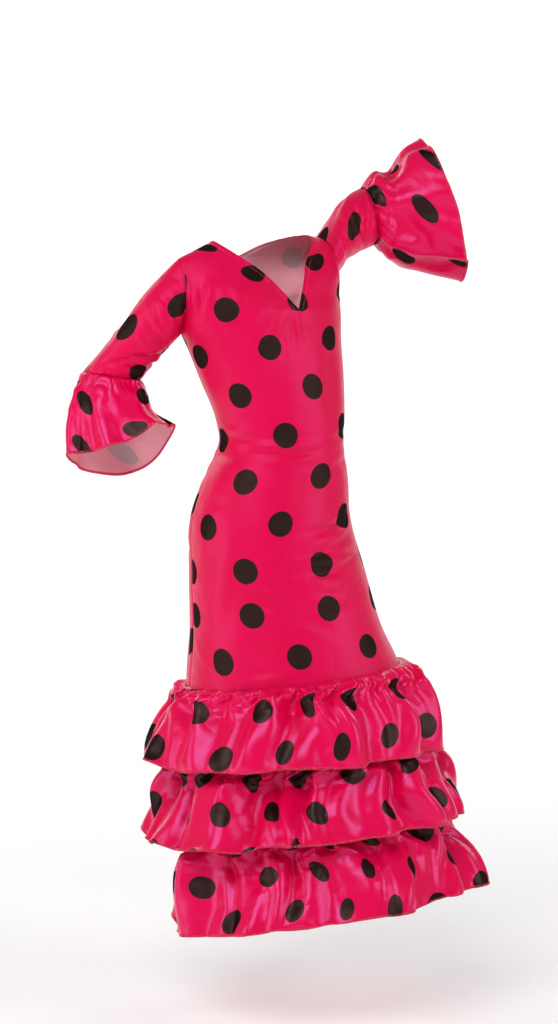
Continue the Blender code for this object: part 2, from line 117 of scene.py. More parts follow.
BACK_NECK = Neckline(row=7, point=(0.000, 0.0560, 0.006), middle_row=8, out=0.008, up=0.003)

Hoop = namedtuple("Hoop", "x y z out deep roll lean sag", defaults=[0.0])
SLEEVES = {
    "right": [
        Hoop(-0.119, -0.056, -0.068, 0.0355, 0.034, 114, -8),
        Hoop(-0.139, -0.046, -0.092, 0.0310, 0.032, 135, -8),
        Hoop(-0.163, -0.030, -0.121, 0.0310, 0.031, 157, -6),
        Hoop(-0.181, -0.016, -0.142, 0.0355, 0.033, 171, 0),
    ],
    "left": [
        Hoop(0.114, 0.086, 0.044, 0.0370, 0.034, 95, 18),
        Hoop(0.141, 0.108, 0.059, 0.0370, 0.034, 104, 16),
    ],
}
CUFFS = {
    "right": [
        Hoop(-0.183, -0.018, -0.160, 0.0450, 0.046, 178, -4, 0.002),
        Hoop(-0.182, -0.024, -0.190, 0.0520, 0.054, 186, -11, 0.010),
        Hoop(-0.171, -0.030, -0.223, 0.0670, 0.062, 199, -20, 0.022),
    ],
    "left": [
        Hoop(0.149, 0.109, 0.062, 0.0500, 0.043, 99, 8),
        Hoop(0.172, 0.114, 0.056, 0.0600, 0.050, 98, 8),
        Hoop(0.199, 0.120, 0.066, 0.0790, 0.064, 102, 9),
        Hoop(0.235, 0.124, 0.070, 0.0930, 0.078, 108, 10),
    ],
}

Tier = namedtuple("Tier", "name seam height x y wide deep turn puff_left puff_right front_lift stand")
TIERS = [
    Tier("ruffle_top", -0.516, 0.118, 0.035, -0.004, 0.187, 0.167, 16, 1.05, 3.0, 0.005, 0.0014),
    Tier("ruffle_middle", -0.610, 0.117, 0.056, -0.004, 0.203, 0.176, 16, 0.95, 1.55, 0.004, 0.0014),
    Tier("ruffle_bottom", -0.702, 0.124, 0.086, -0.004, 0.197, 0.180, 14, 1.20, 1.25, 0.009, 0.0014),
]
SLANT = 0.955
FALL = 1.3

Fold = namedtuple("Fold", "at width swing")
FOLDS = {
    "ruffle_top": [
        Fold(-178, 0.075, 52), Fold(-146, 0.050, 30), Fold(-122, 0.048, 34), Fold(-79, 0.074, 76),
        Fold(-55, 0.055, 36), Fold(-31, 0.070, 66), Fold(0, 0.056, 34), Fold(30, 0.056, 36),
        Fold(58, 0.066, 58), Fold(88, 0.058, 44), Fold(118, 0.070, 62), Fold(150, 0.056, 42),
    ],
    "ruffle_middle": [
        Fold(-176, 0.068, 56), Fold(-141, 0.074, 68), Fold(-115, 0.078, 78), Fold(-80, 0.056, 40),
        Fold(-52, 0.062, 44), Fold(-28, 0.056, 38), Fold(-2, 0.060, 48), Fold(26, 0.064, 52),
        Fold(57, 0.060, 46), Fold(90, 0.070, 62), Fold(120, 0.058, 44), Fold(150, 0.064, 56),
    ],
    "ruffle_bottom": [
        Fold(-168, 0.078, 64), Fold(-138, 0.064, 56), Fold(-113, 0.060, 44), Fold(-84, 0.080, 74),
        Fold(-57, 0.054, 40), Fold(-32, 0.060, 46), Fold(-4, 0.066, 54), Fold(24, 0.058, 44),
        Fold(55, 0.070, 60), Fold(86, 0.060, 48), Fold(118, 0.064, 54), Fold(152, 0.058, 44),
    ],
    "cuff_right": [
        Fold(20, 0.050, 46), Fold(75, 0.056, 62), Fold(128, 0.050, 48), Fold(196, 0.054, 54),
        Fold(262, 0.052, 46), Fold(318, 0.046, 40),
    ],
    "cuff_left": [
        Fold(14, 0.052, 40), Fold(92, 0.048, 34), Fold(150, 0.058, 56), Fold(214, 0.050, 44),
        Fold(280, 0.056, 52), Fold(326, 0.046, 36),
    ],
}
TIER_GATHERS = 38
CUFF_GATHERS = 18
CUFF_CUT = {"right": 0.55, "left": 0.47}  # they are cut flared: the seam edge's share of the hem's length
FOLD_GROWTH = 0.8  # how late the hem's folds come in, down a ruffle
CUFF_FOLD_GROWTH = 0.35

# ---------------------------------------------------------------- how the cloth lies
# Gathers of a ruffle or cuff. Heights are shares of the strip's height below the seam.
PUCKER_REACH = 0.12  # how far down the smallest puckers go, two to a gather
SEAM_FULL = 0.20  # where the gathers' whole height is reached
GATHER_FULL = 0.06  # where the gathers are full
GATHER_REACH = 0.20  # where they have mostly died out, on average
REACH_UNEVEN = 0.50  # how unequally far they run
WAVE_FULL = 0.35  # where the wider waves, one to two gathers, are full
SLEW = 1.0  # by how many gathers they lean aside on their way down
STEEPEST = 1.42  # radians that a gather's cloth turns at most
ROLL_DOWN = 0.10  # the head of the ruffle rolls over its seam down to here
ROLL_UP = 0.0014  # metres that the roll stands over the seam line
ROLL_OUT = 0.0010

CREASE_SHOULDER = 0.35  # how high the cloth beside a crease rises, 1 being the crease's depth
SHOULDER_AT = 1.7  # how far from its middle, 1 being its width
CREASE_ENDS = 1.4  # how fast it dies out at its ends
SEAM_DEPTH = 0.0007  # how deep a seam's valley is
SEAM_WIDTH = 0.0034
SEAM_HOLD = 0.0055  # how near a seam creases die out
DRAWN_REACH = 0.017  # how far under a gathered seam the cloth is finely puckered
NECK_BAND = 0.0062  # width of the neckline's turned edge
NECK_STAND = 0.0006
NECK_GROOVE = 0.0006  # how deep its stitching draws in
NECK_ROUND = 0.0004  # how far its outer edge rounds off

# Settling a gathered strip, a share being of its height below the seam.
CLEAR_SECTORS = 160  # round the dress, for keeping a ruffle outside what lies under it
CLEAR_STEP = 0.004  # their height
CLEAR_HEAD = 0.08  # share under the seam that comes in gradually
CLEAR_ROUNDS = 6  # how far a push spreads
SETTLE_CLEAR = 0.0030  # how far off what lies under it the cloth starts
SETTLE_FRAMES = 14
SETTLE_QUALITY = 5
SETTLE_SLACK = 1.01  # how much taller the cloth is cut than the space it hangs in
SETTLE_HOLD = 0.012  # how firmly the whole strip is held to its form, 1 being fixed
SETTLE_HEM_HOLD = 0.08
SMOOTHED = 0.023  # below the gathers, folds narrower than this are smoothed away
SMOOTHED_FROM = 0.42  # share where the smoothing is full

# Sewing.
THREAD_RADIUS = 0.00030
THREAD_SIDES = 5
OVERLOCK_PITCH = 0.0024
OVERLOCK_STEPS = 8
OVERLOCK_DEEP = 0.0032
OVERLOCK_OUT = 0.0011
OVERLOCK_BELOW = 0.0004  # how far its loops reach past the cloth's edge
SEAM_RADIUS = 0.00065  # of the closed seam's cloth and thread, between its two pieces
SEAM_SIDES = 6
SEAM_SUNK = 0.0007
STITCH_LONG = 0.0021
STITCH_PITCH = 0.0032
STITCH_RISE = 0.0005 * np.array([-0.8, 0.8, 1.0, 0.8, -0.8])  # it dips into the cloth at its ends

# How finely the shells are divided.
ROUND_SAMPLES = 24  # enough for the middle of a ring
SKIRT_COLUMNS = 120  # of the part of the skirt that the ruffles lie on
SKIRT_ROWS = 34
PANEL_COLUMNS = 110
PANEL_ROWS = 200
YOKE_SUBROWS = 6
YOKE_OUTWARDS = 0.75  # how much its columns gather towards its edges
OUTWARDS_FULL = 3  # the row from which they do so in full
RUFFLE_COLUMNS = 284  # of the cloth that settles, the shell has twice as many
RUFFLE_ROWS = 26
CUFF_COLUMNS = 132
CUFF_ROWS = 18
SLEEVE_COLUMNS = 112
SLEEVE_ROWS = {"right": 64, "left": 46}
EASE_REACH = 0.022  # how far off a joint of patches is smoothed
EASE_ROUNDS = 60
OVERSAMPLE = 8  # finer steps along a strip when its line is added up
ROWS_CLOSER = 1.25  # how much closer a strip's rows lie towards its seam

# ---------------------------------------------------------------- the print and colours, linear
DOT_RADIUS = 0.0156
DOT_DOWN = 0.0538  # row pitch of the staggered dots
DOT_ACROSS = 0.0980  # pitch in a row
UNSTAGGERED = -7.5  # below this row of the front, the dots are staggered the other way
PINK = (0.78, 0.0, 0.066)
PINK_DEEP = (0.74, 0.0, 0.054)
PINK_SLUB = (0.80, 0.0, 0.078)
HEM_PINK = (0.64, 0.0, 0.022)
DOT = (0.034, 0.018, 0.013)
# The wrong side: its own paler pink, lightened further as painted light for light shining through the thin
# cloth.
INSIDE_PALE_AND_LIT_THROUGH = (0.96, 0.43, 0.50)  # the wrong side
INSIDE_DOT = (0.52, 0.40, 0.42)
INSIDE_HEM = (0.80, 0.07, 0.13)
SEAM_PINK = (0.72, 0.0, 0.055)
THREAD = (0.78, 0.02, 0.08)
THREAD_PALE = (0.92, 0.26, 0.36)
SHINE = (0.125, 0.086, 0.245)  # what tints the satin's highlights, its wrong side's and the thread's
INSIDE_SHINE = (1.0, 0.8, 0.8)
THREAD_SHINE = (1.0, 0.5, 0.7)
SHEEN = (1.0, 0.45, 0.75)
WEAVE = 0.0011  # pitch of the weave's diagonal lines


# ---------------------------------------------------------------- curves and rings
def hermite(at, start, span):
    """Weights of a stretch's first value and slope, and of its last value and slope."""
    u = (at - start) / span
    return [
        (1 + 2 * u) * (1 - u) ** 2,
        u * (1 - u) ** 2 * span,
        u * u * (3 - 2 * u),
        u * u * (u - 1) * span,
    ]


def smooth(knots, values, at):
    """A smooth curve through values at rising knots, read at each of at."""
    knots, values = np.asarray(knots, float), np.asarray(values, float)
    at = np.asarray(at, float)
    slopes = np.gradient(values, knots, axis=0)
    i = np.clip(np.searchsorted(knots, at, side="right") - 1, 0, len(knots) - 2)
    weights = hermite(at, knots[i], knots[i + 1] - knots[i])
    if values.ndim > 1:
        weights = [w[..., None] for w in weights]
    ends = (values[i], slopes[i], values[i + 1], slopes[i + 1])
    return sum(w * end for w, end in zip(weights, ends))


def round_once():
    """A few even shares round a ring, to find its middle with."""
    return np.linspace(0, 1, ROUND_SAMPLES, endpoint=False)


def turned(across, along, degrees):
    """Offsets to the wearer's left and back, turned to world X and Y."""
    angle = np.radians(degrees)
    x = across * np.cos(angle) - along * np.sin(angle)
    y = across * np.sin(angle) + along * np.cos(angle)
    return x, y


def squared(wave):
    """A sine or cosine wave as it goes round a slightly squared ring."""
    return np.sign(wave) * np.abs(wave) ** SQUARENESS


def tube(angle, level):
    """Points on the dress's tube. angle is 0 at the wearer's left side and -90 in front."""
    angle, level = np.broadcast_arrays(np.radians(angle), np.asarray(level, float))
    rows = smooth([r.level for r in TUBE], [r[1:] for r in TUBE], level)
    x, y, wide, front, back, turn, rise, _ = np.moveaxis(rows, -1, 0)
    deep = np.where(np.sin(angle) < 0, front, back)
    dx, dy = turned(wide * squared(np.cos(angle)), deep * squared(np.sin(angle)), turn)
    return np.stack([x + dx, y + dy, level + rise * dx], -1)


def chest(point):
    """A point given from the chest ring's middle and turned with it, in the world."""
    x, y, z = point
    dx, dy = turned(x, y, CHEST.turn)
    return np.array([CHEST.x + dx, CHEST.y + dy, z])


def seam_angle(sign, level):
    """Where a side seam runs round the tube, sign being -1 on the wearer's right and 1 on the left."""
    behind = smooth([r.level for r in TUBE], [r.seam for r in TUBE], level)
    return -180 - behind if sign < 0 else behind


def side_seam(yoke):
    """The side seam's line, by row, from the chest ring up to the armpit."""
    levels = np.array([CHEST.level - ROW_STEP, CHEST.level])
    below = tube(seam_angle(yoke.sign, levels), levels)
    values = np.array([*below, chest(yoke.armpit)])
    return lambda row: smooth([-1, 0, yoke.armpit_row], values, row)


def armhole(yoke):
    """The armhole's edge, by row: up its front, over the shoulder and on down its back."""
    over = 2 * YOKE_ROWS
    rows = [yoke.armpit_row, ARM_ROW, YOKE_ROWS, over - ARM_ROW, over - yoke.armpit_row]
    points = [yoke.armpit, yoke.front_arm, yoke.shoulder, yoke.back_arm, yoke.armpit]
    values = np.array([chest(p) for p in points])
    return lambda row: smooth(rows, values, row)


def neckline(yoke):
    """The neck's edge, by row: up its front, over the shoulder and on down its back."""
    rows, points = [YOKE_ROWS], [yoke.neck]
    for line, front in ((V_NECK, True), (BACK_NECK, False)):
        share = (line.middle_row - line.row) / (YOKE_ROWS - line.row)
        middle = [a + share * (b - a) for a, b in zip(line.point, yoke.neck)]
        middle[1] += line.out
        middle[2] += line.up
        there = [line.row, line.middle_row]
        if front:
            rows, points = there + rows, [line.point, middle] + points
        else:
            rows += [2 * YOKE_ROWS - r for r in reversed(there)]
            points += [middle, line.point]
    values = np.array([chest(p) for p in points])
    return lambda row: smooth(rows, values, row)


def yoke_grid(yoke, front, columns):
    """Rows of points over one shoulder's panel, from the chest ring up and from the arm to the neck.
    Higher up, the columns gather towards the armhole and the neckline."""
    row = np.linspace(0, YOKE_ROWS, YOKE_ROWS * YOKE_SUBROWS + 1)
    past = row if front else 2 * YOKE_ROWS - row
    line = V_NECK if front else BACK_NECK

    outer = np.where((row < yoke.armpit_row)[:, None], side_seam(yoke)(row), armhole(yoke)(past))
    middle_angle = -90 if front else 90
    below = [tube(middle_angle, CHEST.level - ROW_STEP), tube(middle_angle, CHEST.level)]
    up_middle = smooth([-1, 0, line.row], np.array([*below, chest(line.point)]), row)
    inner = np.where((row < line.row)[:, None], up_middle, neckline(yoke)(past))

    side_angle = seam_angle(yoke.sign, CHEST.level)
    if not front and side_angle < 0:
        side_angle += 360
    even = np.linspace(0, 1, columns + 1)
    ends = 0.5 - 0.5 * np.cos(math.pi * even)
    share = even + YOKE_OUTWARDS * np.clip(row / OUTWARDS_FULL, 0, 1)[:, None] * (ends - even)
    ring = tube(side_angle + (middle_angle - side_angle) * share, CHEST.level)
    ring_bulge = ring - (ring[:, :1] + (ring[:, -1:] - ring[:, :1]) * share[..., None])
    keep = ((1 - (row / YOKE_ROWS) ** 2) ** CHEST_ROUND)[:, None, None]
    straight = outer[:, None] + (inner - outer)[:, None] * share[..., None]
    return row, straight + ring_bulge * keep


def armhole_ring(yoke, share):
    """The armhole's edge: 0 at the shoulder, a quarter in front, a half at the armpit."""
    half = YOKE_ROWS - yoke.armpit_row
    past = YOKE_ROWS - 2 * half * (np.asarray(share) % 1)
    return armhole(yoke)(np.where(past < yoke.armpit_row, past + 2 * half, past))


def hoop_ring(hoop, share):
    """A hoop's points: 0 at the outside of the arm, a quarter in front."""
    roll, lean = math.radians(hoop.roll), math.radians(hoop.lean)
    handed = 1 if hoop.x > 0 else -1
    out = np.array([math.cos(roll), 0, math.sin(roll)])
    down_arm = handed * np.array([math.sin(roll), 0, -math.cos(roll)])
    deep = math.cos(lean) * np.array([0, 1, 0]) - math.sin(lean) * down_arm
    turn = TURN * np.asarray(share)[..., None]
    centre = np.array([hoop.x, hoop.y, hoop.z])
    plane = hoop.out * np.cos(turn) * out - hoop.deep * np.sin(turn) * deep
    return centre + plane + hoop.sag * np.sin(turn) ** 2 * down_arm


def loft(rings, share, down):
    """Points between rings, which are functions of share. down runs from 0 at the first to 1."""
    centres = np.array([ring(round_once()).mean(0) for ring in rings])
    steps = np.linalg.norm(np.diff(centres, axis=0), axis=1)
    knots = np.concatenate([[0], np.cumsum(steps)]) / steps.sum()
    share, down = np.broadcast_arrays(share, np.asarray(down, float))
    values = np.array([ring(share) for ring in rings])
    slopes = np.gradient(values, knots, axis=0)
    i = np.clip(np.searchsorted(knots, down, side="right") - 1, 0, len(knots) - 2)
    take = lambda table, at: np.take_along_axis(table, at[None, ..., None], 0)[0]
    weights = hermite(down, knots[i], knots[i + 1] - knots[i])
    ends = (take(values, i), take(slopes, i), take(values, i + 1), take(slopes, i + 1))
    return sum(w[..., None] * end for w, end in zip(weights, ends))


def sleeve_surface(yoke):
    hoops = SLEEVES[yoke.name]
    edge = lambda share: armhole_ring(yoke, share)
    way = np.array(hoops[0][:3]) - edge(round_once()).mean(0)
    start = lambda share: edge(share) + GAP * way / np.linalg.norm(way)
    rings = [start] + [lambda share, h=h: hoop_ring(h, share) for h in hoops]
    return lambda share, down: loft(rings, share, down)


def cuff_surface(side):
    last, after = SLEEVES[side][-1], CUFFS[side][0]
    way = np.array(after[:3]) - np.array(last[:3])
    centre = np.array(last[:3]) + GAP * way / np.linalg.norm(way)
    first = Hoop(*centre, last.out, last.deep, last.roll, last.lean)
    rings = [lambda share, h=h: hoop_ring(h, share) for h in [first, *CUFFS[side]]]
    return lambda share, down: loft(rings, share, down)


def tier_surface(tier):
    """A ruffle's smooth surface: share 0 at +X, a quarter at the back; down 0 at its seam, 1 at its hem."""

    def hem_plan(angle):
        angle = np.radians(angle)
        dx, dy = turned(tier.wide * squared(np.cos(angle)), tier.deep * squared(np.sin(angle)), tier.turn)
        return np.stack([tier.x + dx, tier.y + dy], -1)

    around = np.linspace(0, 360, 361)
    steps = np.linalg.norm(np.diff(hem_plan(around), axis=0), axis=1)
    run = np.concatenate([[0], np.cumsum(steps)]) / steps.sum()

    def surface(share, down):
        share, down = np.broadcast_arrays(np.asarray(share) % 1, np.asarray(down, float))
        angle = np.interp(share, run, around)
        seam = tube(angle, tier.seam)
        facing = np.stack([np.cos(np.radians(angle + tier.turn)), np.sin(np.radians(angle + tier.turn))], -1)
        start = seam[..., :2] + facing * tier.stand
        flare = hem_plan(angle) - start
        drop = np.sqrt((SLANT * tier.height) ** 2 - (flare**2).sum(-1))
        rightness = (1 + np.cos(np.radians(angle))) / 2
        puff = tier.puff_left + (tier.puff_right - tier.puff_left) * rightness
        plan = start + flare * (1 - (1 - down) ** puff)[..., None]
        frontness = (0.5 - 0.5 * np.sin(np.radians(angle))) ** 2
        height = seam[..., 2] - drop * down**FALL + tier.front_lift * frontness * down
        return np.concatenate([plan, height[..., None]], -1)

    return surface


# ---------------------------------------------------------------- gathered strips
def fold_line(folds, ring_length, fine):
    """The turn of a hem's cloth out of its ring, in radians, at fine even steps of the strip, and the
    strip's length."""
    wave = np.linspace(0, 1, 200)
    first = folds[0].at
    starts, used = [], 0.0
    for fold in folds:
        kept = np.cos(math.radians(fold.swing) * np.sin(TURN * wave)).mean()
        extra = fold.width * (1 - kept)
        starts.append((fold.at - first) / 360 * ring_length + used - fold.width * kept / 2)
        used += extra
    length = ring_length + used
    place = np.arange(fine) / fine * length
    turn = np.zeros(fine)
    for fold, start in zip(folds, starts):
        along = ((place - start) % length) / fold.width
        turn += np.where(along < 1, math.radians(fold.swing) * np.sin(TURN * np.minimum(along, 1)), 0)
    return turn, length


def uneven(share, low, high, seed):
    """A smooth random wave round a strip, about 1 high, of low to high waves in all."""
    random = np.random.default_rng(seed)
    cycles = random.integers(low, high + 1, 9)
    wave = sum(np.sin(TURN * (c * share + random.random())) for c in cycles)
    return wave / 3


def trough_line(height, window):
    """The line that the troughs of a wavy line lie on, smoothed."""
    ring = np.concatenate([height[-window:], height, height[:window]])
    low = np.lib.stride_tricks.sliding_window_view(ring, 2 * window + 1).min(1)
    spectrum = np.fft.rfft(low)
    spectrum[len(height) // window :] = 0
    return np.fft.irfft(spectrum, len(height))


# A gathered strip: its gathers and the columns and rows of its cloth that settles, the share of the
# height in which it stands off what it is sewn to, cut the seam edge's share of the hem's length, soft
# how much of the gathers runs on below the seam, growth how late the hem's folds come in, the seed of
# its unevenness, and the share of gravity that it settles under.
Strip = namedtuple("Strip", "name surface height gathers columns rows lifted cut soft growth seed gravity")


def bent(turn_folds, turn_gathers):
    """The turn of a strip's cloth out of its ring, in radians."""
    return STEEPEST * np.tanh((turn_folds + turn_gathers) / STEEPEST)


def drawn_up(turn_folds, turn_gathers, wanted):
    """How strong the gathers have to be for the strip to reach round the wanted share of its length."""
    low, high = 0.0, 4.0
    for _ in range(18):
        middle = (low + high) / 2
        reached = np.cos(bent(turn_folds, middle * turn_gathers)).mean()
        low, high = (middle, high) if reached > wanted else (low, middle)
    return low


def wave_height(turn, length, lifted, window):
    """How far off its ring a closed strip stands whose cloth turns so: about the ring itself or, where
    lifted is 1, all outside it."""
    out = np.sin(turn)
    out -= out.mean()
    height = np.cumsum(out) * length / len(turn)
    spectrum = np.fft.rfft(height)
    spectrum[:4] = 0
    height = np.fft.irfft(spectrum, len(turn))
    return height - lifted * trough_line(height, window)


def strip_row(surface, at, down, height, axis):
    """A row of a strip's points, its height being off its surface. Its head rolls over the seam."""
    step = 1e-3
    along = surface(at + step, down) - surface(at - step, down)
    fall = surface(at, min(1, down + step)) - surface(at, max(0, down - step))
    normal = np.cross(fall, along)
    normal -= (normal @ axis)[:, None] * axis * max(0, 1 - down / 0.4)
    normal /= np.linalg.norm(normal, axis=1)[:, None]
    crest = np.clip(height / 0.006, -0.6, 1)
    roll = math.sin(math.pi * min(1, down / ROLL_DOWN))
    row = surface(at, down) + normal * (height + ROLL_OUT * min(1, down / 0.03))[:, None]
    return row - axis * (ROLL_UP * roll * (0.7 + 0.5 * crest))[:, None]


def ruffle_points(strip):
    """Rows of points of a gathered strip, its share down at each row and its length at each. Near the
    seam many puckers run together into gathers, these into waves, and these into the hem's few folds, so
    that each row takes the strip's whole length there."""
    surface, count, cut, soft, seed = strip.surface, strip.gathers, strip.cut, strip.soft, strip.seed
    folds = FOLDS[strip.name]
    ends = [surface(round_once(), down).mean(0) for down in (0.0, 1.0)]
    axis = (ends[1] - ends[0]) / np.linalg.norm(ends[1] - ends[0])
    fine = strip.columns * OVERSAMPLE
    share = np.arange(fine) / fine

    def ring_at(down):
        ring = surface(share, down)
        return np.linalg.norm(np.roll(ring, -1, 0) - ring, axis=1).sum()

    folds_turn, length = fold_line(folds, ring_at(1.0), fine)
    unevenness = 0.20 * uneven(share, 4, 13, seed)
    reach = GATHER_REACH * soft * np.exp(REACH_UNEVEN * uneven(share, count // 3, count, seed + 1))
    pucker_size = 0.8 + 0.3 * uneven(share, 8, 30, seed + 2)
    wave_size = soft * (1.0 + 0.5 * uneven(share, 3, 12, seed + 3))
    sway = uneven(share, 5, 16, seed + 4)

    def gathers_turn(down):
        phase = count * share + unevenness + SLEW * sway * down
        gather = np.sin(TURN * phase) + 0.28 * np.sin(2 * TURN * phase + 0.9)
        pucker = np.sin(TURN * (2 * phase + 0.35 * sway) + 1.3)
        wave = np.sin(TURN * (phase * (count // 2) / count + 0.18 * sway) + 0.5)
        return (
            pucker * pucker_size * math.exp(-((down / PUCKER_REACH) ** 2))
            + gather * np.exp(-((down / reach) ** 2)) * min(1, down / GATHER_FULL)
            + 0.75 * wave * wave_size * min(1, down / WAVE_FULL) * math.sqrt(1 - 0.85 * down)
        )

    downs = np.linspace(0, 1, strip.rows + 1) ** ROWS_CLOSER
    lengths = length * (cut + (1 - cut) * downs)
    points = []
    for down, here in zip(downs, lengths):
        turn_gathers = gathers_turn(down)
        turn_folds = folds_turn * down**strip.growth
        size = drawn_up(turn_folds, turn_gathers, ring_at(down) / here) * min(1, down / SEAM_FULL) ** 0.6
        turn = bent(turn_folds, size * turn_gathers)
        ahead = np.cos(turn)
        place = np.concatenate([[0], np.cumsum(ahead)[:-1]]) / ahead.sum()
        height = wave_height(turn, here, max(0.0, 1 - down / strip.lifted), fine // count)
        row = strip_row(surface, folds[0].at / 360 + place, down, height, axis)
        points.append(row[::OVERSAMPLE])
    return np.array(points), downs, lengths


def refined(grid):
    """The grid with a smooth point between each two, round the strip and down it."""
    n = len(grid)
    wide = np.empty((n, 2 * grid.shape[1], grid.shape[2]))
    wide[:, ::2] = grid
    wide[:, 1::2] = (9 * (grid + np.roll(grid, -1, 1)) - np.roll(grid, 1, 1) - np.roll(grid, -2, 1)) / 16
    first, last = 2 * wide[:1] - wide[1:2], 2 * wide[-1:] - wide[-2:-1]
    more = np.concatenate([first, wide, last])
    tall = np.empty((2 * n - 1, *wide.shape[1:]))
    tall[::2] = wide
    tall[1::2] = (9 * (more[1:-2] + more[2:-1]) - more[:-3] - more[3:]) / 16
    return tall


# ---------------------------------------------------------------- meshes
def quad_corners(rows, columns, start=0, round_columns=False, round_rows=False):
    """The corners of a grid's faces, as places in its list of points."""
    i = np.arange(rows * columns).reshape(rows, columns) + start
    if round_columns:
        i = np.concatenate([i, i[:, :1]], 1)
    if round_rows:
        i = np.concatenate([i, i[:1]], 0)
    return np.stack([i[:-1, :-1], i[:-1, 1:], i[1:, 1:], i[1:, :-1]], -1).reshape(-1, 4)


def quad_mesh(name, verts, faces):
    mesh = bpy.data.meshes.new(name)
    mesh.vertices.add(len(verts))
    mesh.vertices.foreach_set("co", verts.ravel())
    mesh.loops.add(faces.size)
    mesh.loops.foreach_set("vertex_index", faces.ravel())
    mesh.polygons.add(len(faces))
    mesh.polygons.foreach_set("loop_start", np.arange(len(faces)) * 4)
    return mesh


def placed(name, data):
    obj = bpy.data.objects.new(name, data)
    bpy.context.scene.collection.objects.link(obj)
    return obj


# ---------------------------------------------------------------- settling the gathered strips
def cleared(grid, downs, under, gap):
    """The grid, pushed out sideways where it would lie inside the grids under it."""
    if not under:
        return grid
    centre = grid.reshape(-1, 3)[:, :2].mean(0)
    low = grid[..., 2].min() - CLEAR_STEP
    levels = int((grid[..., 2].max() - low) / CLEAR_STEP) + 2
    outermost = np.zeros((levels, CLEAR_SECTORS))

    def sectors(points):
        away = points[..., :2] - centre
        sector = np.arctan2(away[..., 1], away[..., 0]) / TURN * CLEAR_SECTORS
        level = np.round((points[..., 2] - low) / CLEAR_STEP).astype(int)
        return sector, level, np.linalg.norm(away, axis=-1)

    for other in under:
        sector, level, radius = sectors(refined(refined(other)).reshape(-1, 3))
        there = (level >= 0) & (level < levels)
        sector = np.round(sector[there]).astype(int) % CLEAR_SECTORS
        np.maximum.at(outermost, (level[there], sector), radius[there])
    sector, level, radius = sectors(grid)
    before = np.floor(sector).astype(int)
    share = sector - before
    wall = outermost[level, before % CLEAR_SECTORS] * (1 - share)
    wall += outermost[level, (before + 1) % CLEAR_SECTORS] * share
    push = np.maximum(0, wall + gap - radius) * np.minimum(1, downs / CLEAR_HEAD)[:, None]
    for _ in range(CLEAR_ROUNDS):
        spread = (np.roll(push, 1, 1) + push + np.roll(push, -1, 1)) / 3
        spread = np.concatenate([spread[:1], spread, spread[-1:]])
        push = np.maximum(push, (spread[:-2] + spread[1:-1] + spread[2:]) / 3)
    out = grid.copy()
    out[..., :2] += (grid[..., :2] - centre) / radius[..., None] * push[..., None]
    return out


def smoothed(grid, downs, lengths):
    """The grid without its narrowest folds, the more so the further down."""
    out = np.empty_like(grid)
    for row, down, length, into in zip(grid, downs, lengths, out):
        share = min(1, down / SMOOTHED_FROM)
        narrow = SMOOTHED * share * share * (3 - 2 * share)
        spectrum = np.fft.rfft(row, axis=0)
        waves = np.arange(len(spectrum))
        spectrum *= np.exp(-((waves * narrow / length) ** 2))[:, None]
        into[:] = np.fft.irfft(spectrum, len(row), axis=0)
    return out


def plain_mesh(name, grid):
    """A closed grid as a plain mesh object, for settling only."""
    quads = quad_corners(*grid.shape[:2], round_columns=True)[:, [0, 3, 2, 1]]
    mesh = bpy.data.meshes.new(name)
    mesh.from_pydata(grid.reshape(-1, 3).tolist(), [], quads.tolist())
    return placed(name, mesh)


def wall_for_cloth(grid):
    """What the cloth falls against, a little thicker than its grid."""
    wall = plain_mesh("settle_wall", grid)
    wall.modifiers.new("Collision", "COLLISION")
    wall.collision.thickness_outer = 0.0012
    wall.collision.thickness_inner = 0.004
    wall.collision.cloth_friction = 8
    return wall


def cloth_on(obj, rest_shape, gravity):
    """Cloth for an object that is held by its group of pins, and that was cut as its rest shape."""
    cloth = obj.modifiers.new("Cloth", "CLOTH")
    s = cloth.settings
    s.quality = SETTLE_QUALITY
    s.mass = 0.02
    s.tension_stiffness = s.compression_stiffness = 30
    s.shear_stiffness = 4
    s.tension_damping = s.compression_damping = s.shear_damping = 9
    s.bending_stiffness = 0.005
    s.bending_damping = 0.3
    s.air_damping = 0.3
    s.effector_weights.gravity = gravity
    s.vertex_group_mass = "pins"
    s.pin_stiffness = 1.0
    s.rest_shape_key = rest_shape
    c = cloth.collision_settings
    c.distance_min = 0.0014
    c.use_self_collision = True
    c.self_distance_min = 0.0016
    cloth.point_cache.frame_start = 1
    cloth.point_cache.frame_end = SETTLE_FRAMES


def settled(grid, downs, lengths, height, under, gravity):
    """The strip after its cloth has settled for a moment, over the grids that lie under it."""
    scene = bpy.context.scene
    rows, columns = grid.shape[:2]
    walls = [wall_for_cloth(other) for other in under]
    obj = plain_mesh("settle_cloth", grid)
    obj.shape_key_add(name="start")
    flat_ring = obj.shape_key_add(name="flat")
    angle = np.arange(columns) / columns * TURN
    radius = lengths[:, None] / TURN
    ring = np.broadcast_arrays(
        radius * np.cos(angle), radius * np.sin(angle), -SETTLE_SLACK * height * downs[:, None]
    )
    flat_ring.data.foreach_set("co", np.stack(ring, -1).reshape(-1).astype(np.float32))
    pins = obj.vertex_groups.new(name="pins")
    for k, down in enumerate(downs):
        hold = 1.0 if k < 2 else SETTLE_HOLD + SETTLE_HEM_HOLD * float(down) ** 4
        pins.add(list(range(k * columns, (k + 1) * columns)), hold, "REPLACE")
    cloth_on(obj, flat_ring, gravity)
    for frame_number in range(1, SETTLE_FRAMES + 1):
        scene.frame_set(frame_number)
    mesh = obj.evaluated_get(bpy.context.evaluated_depsgraph_get()).data
    settled_points = np.empty(rows * columns * 3, np.float32)
    mesh.vertices.foreach_get("co", settled_points)
    for thing in [*walls, obj]:
        bpy.data.objects.remove(thing, do_unlink=True)
    scene.frame_set(1)
    return settled_points.reshape(rows, columns, 3).astype(float)


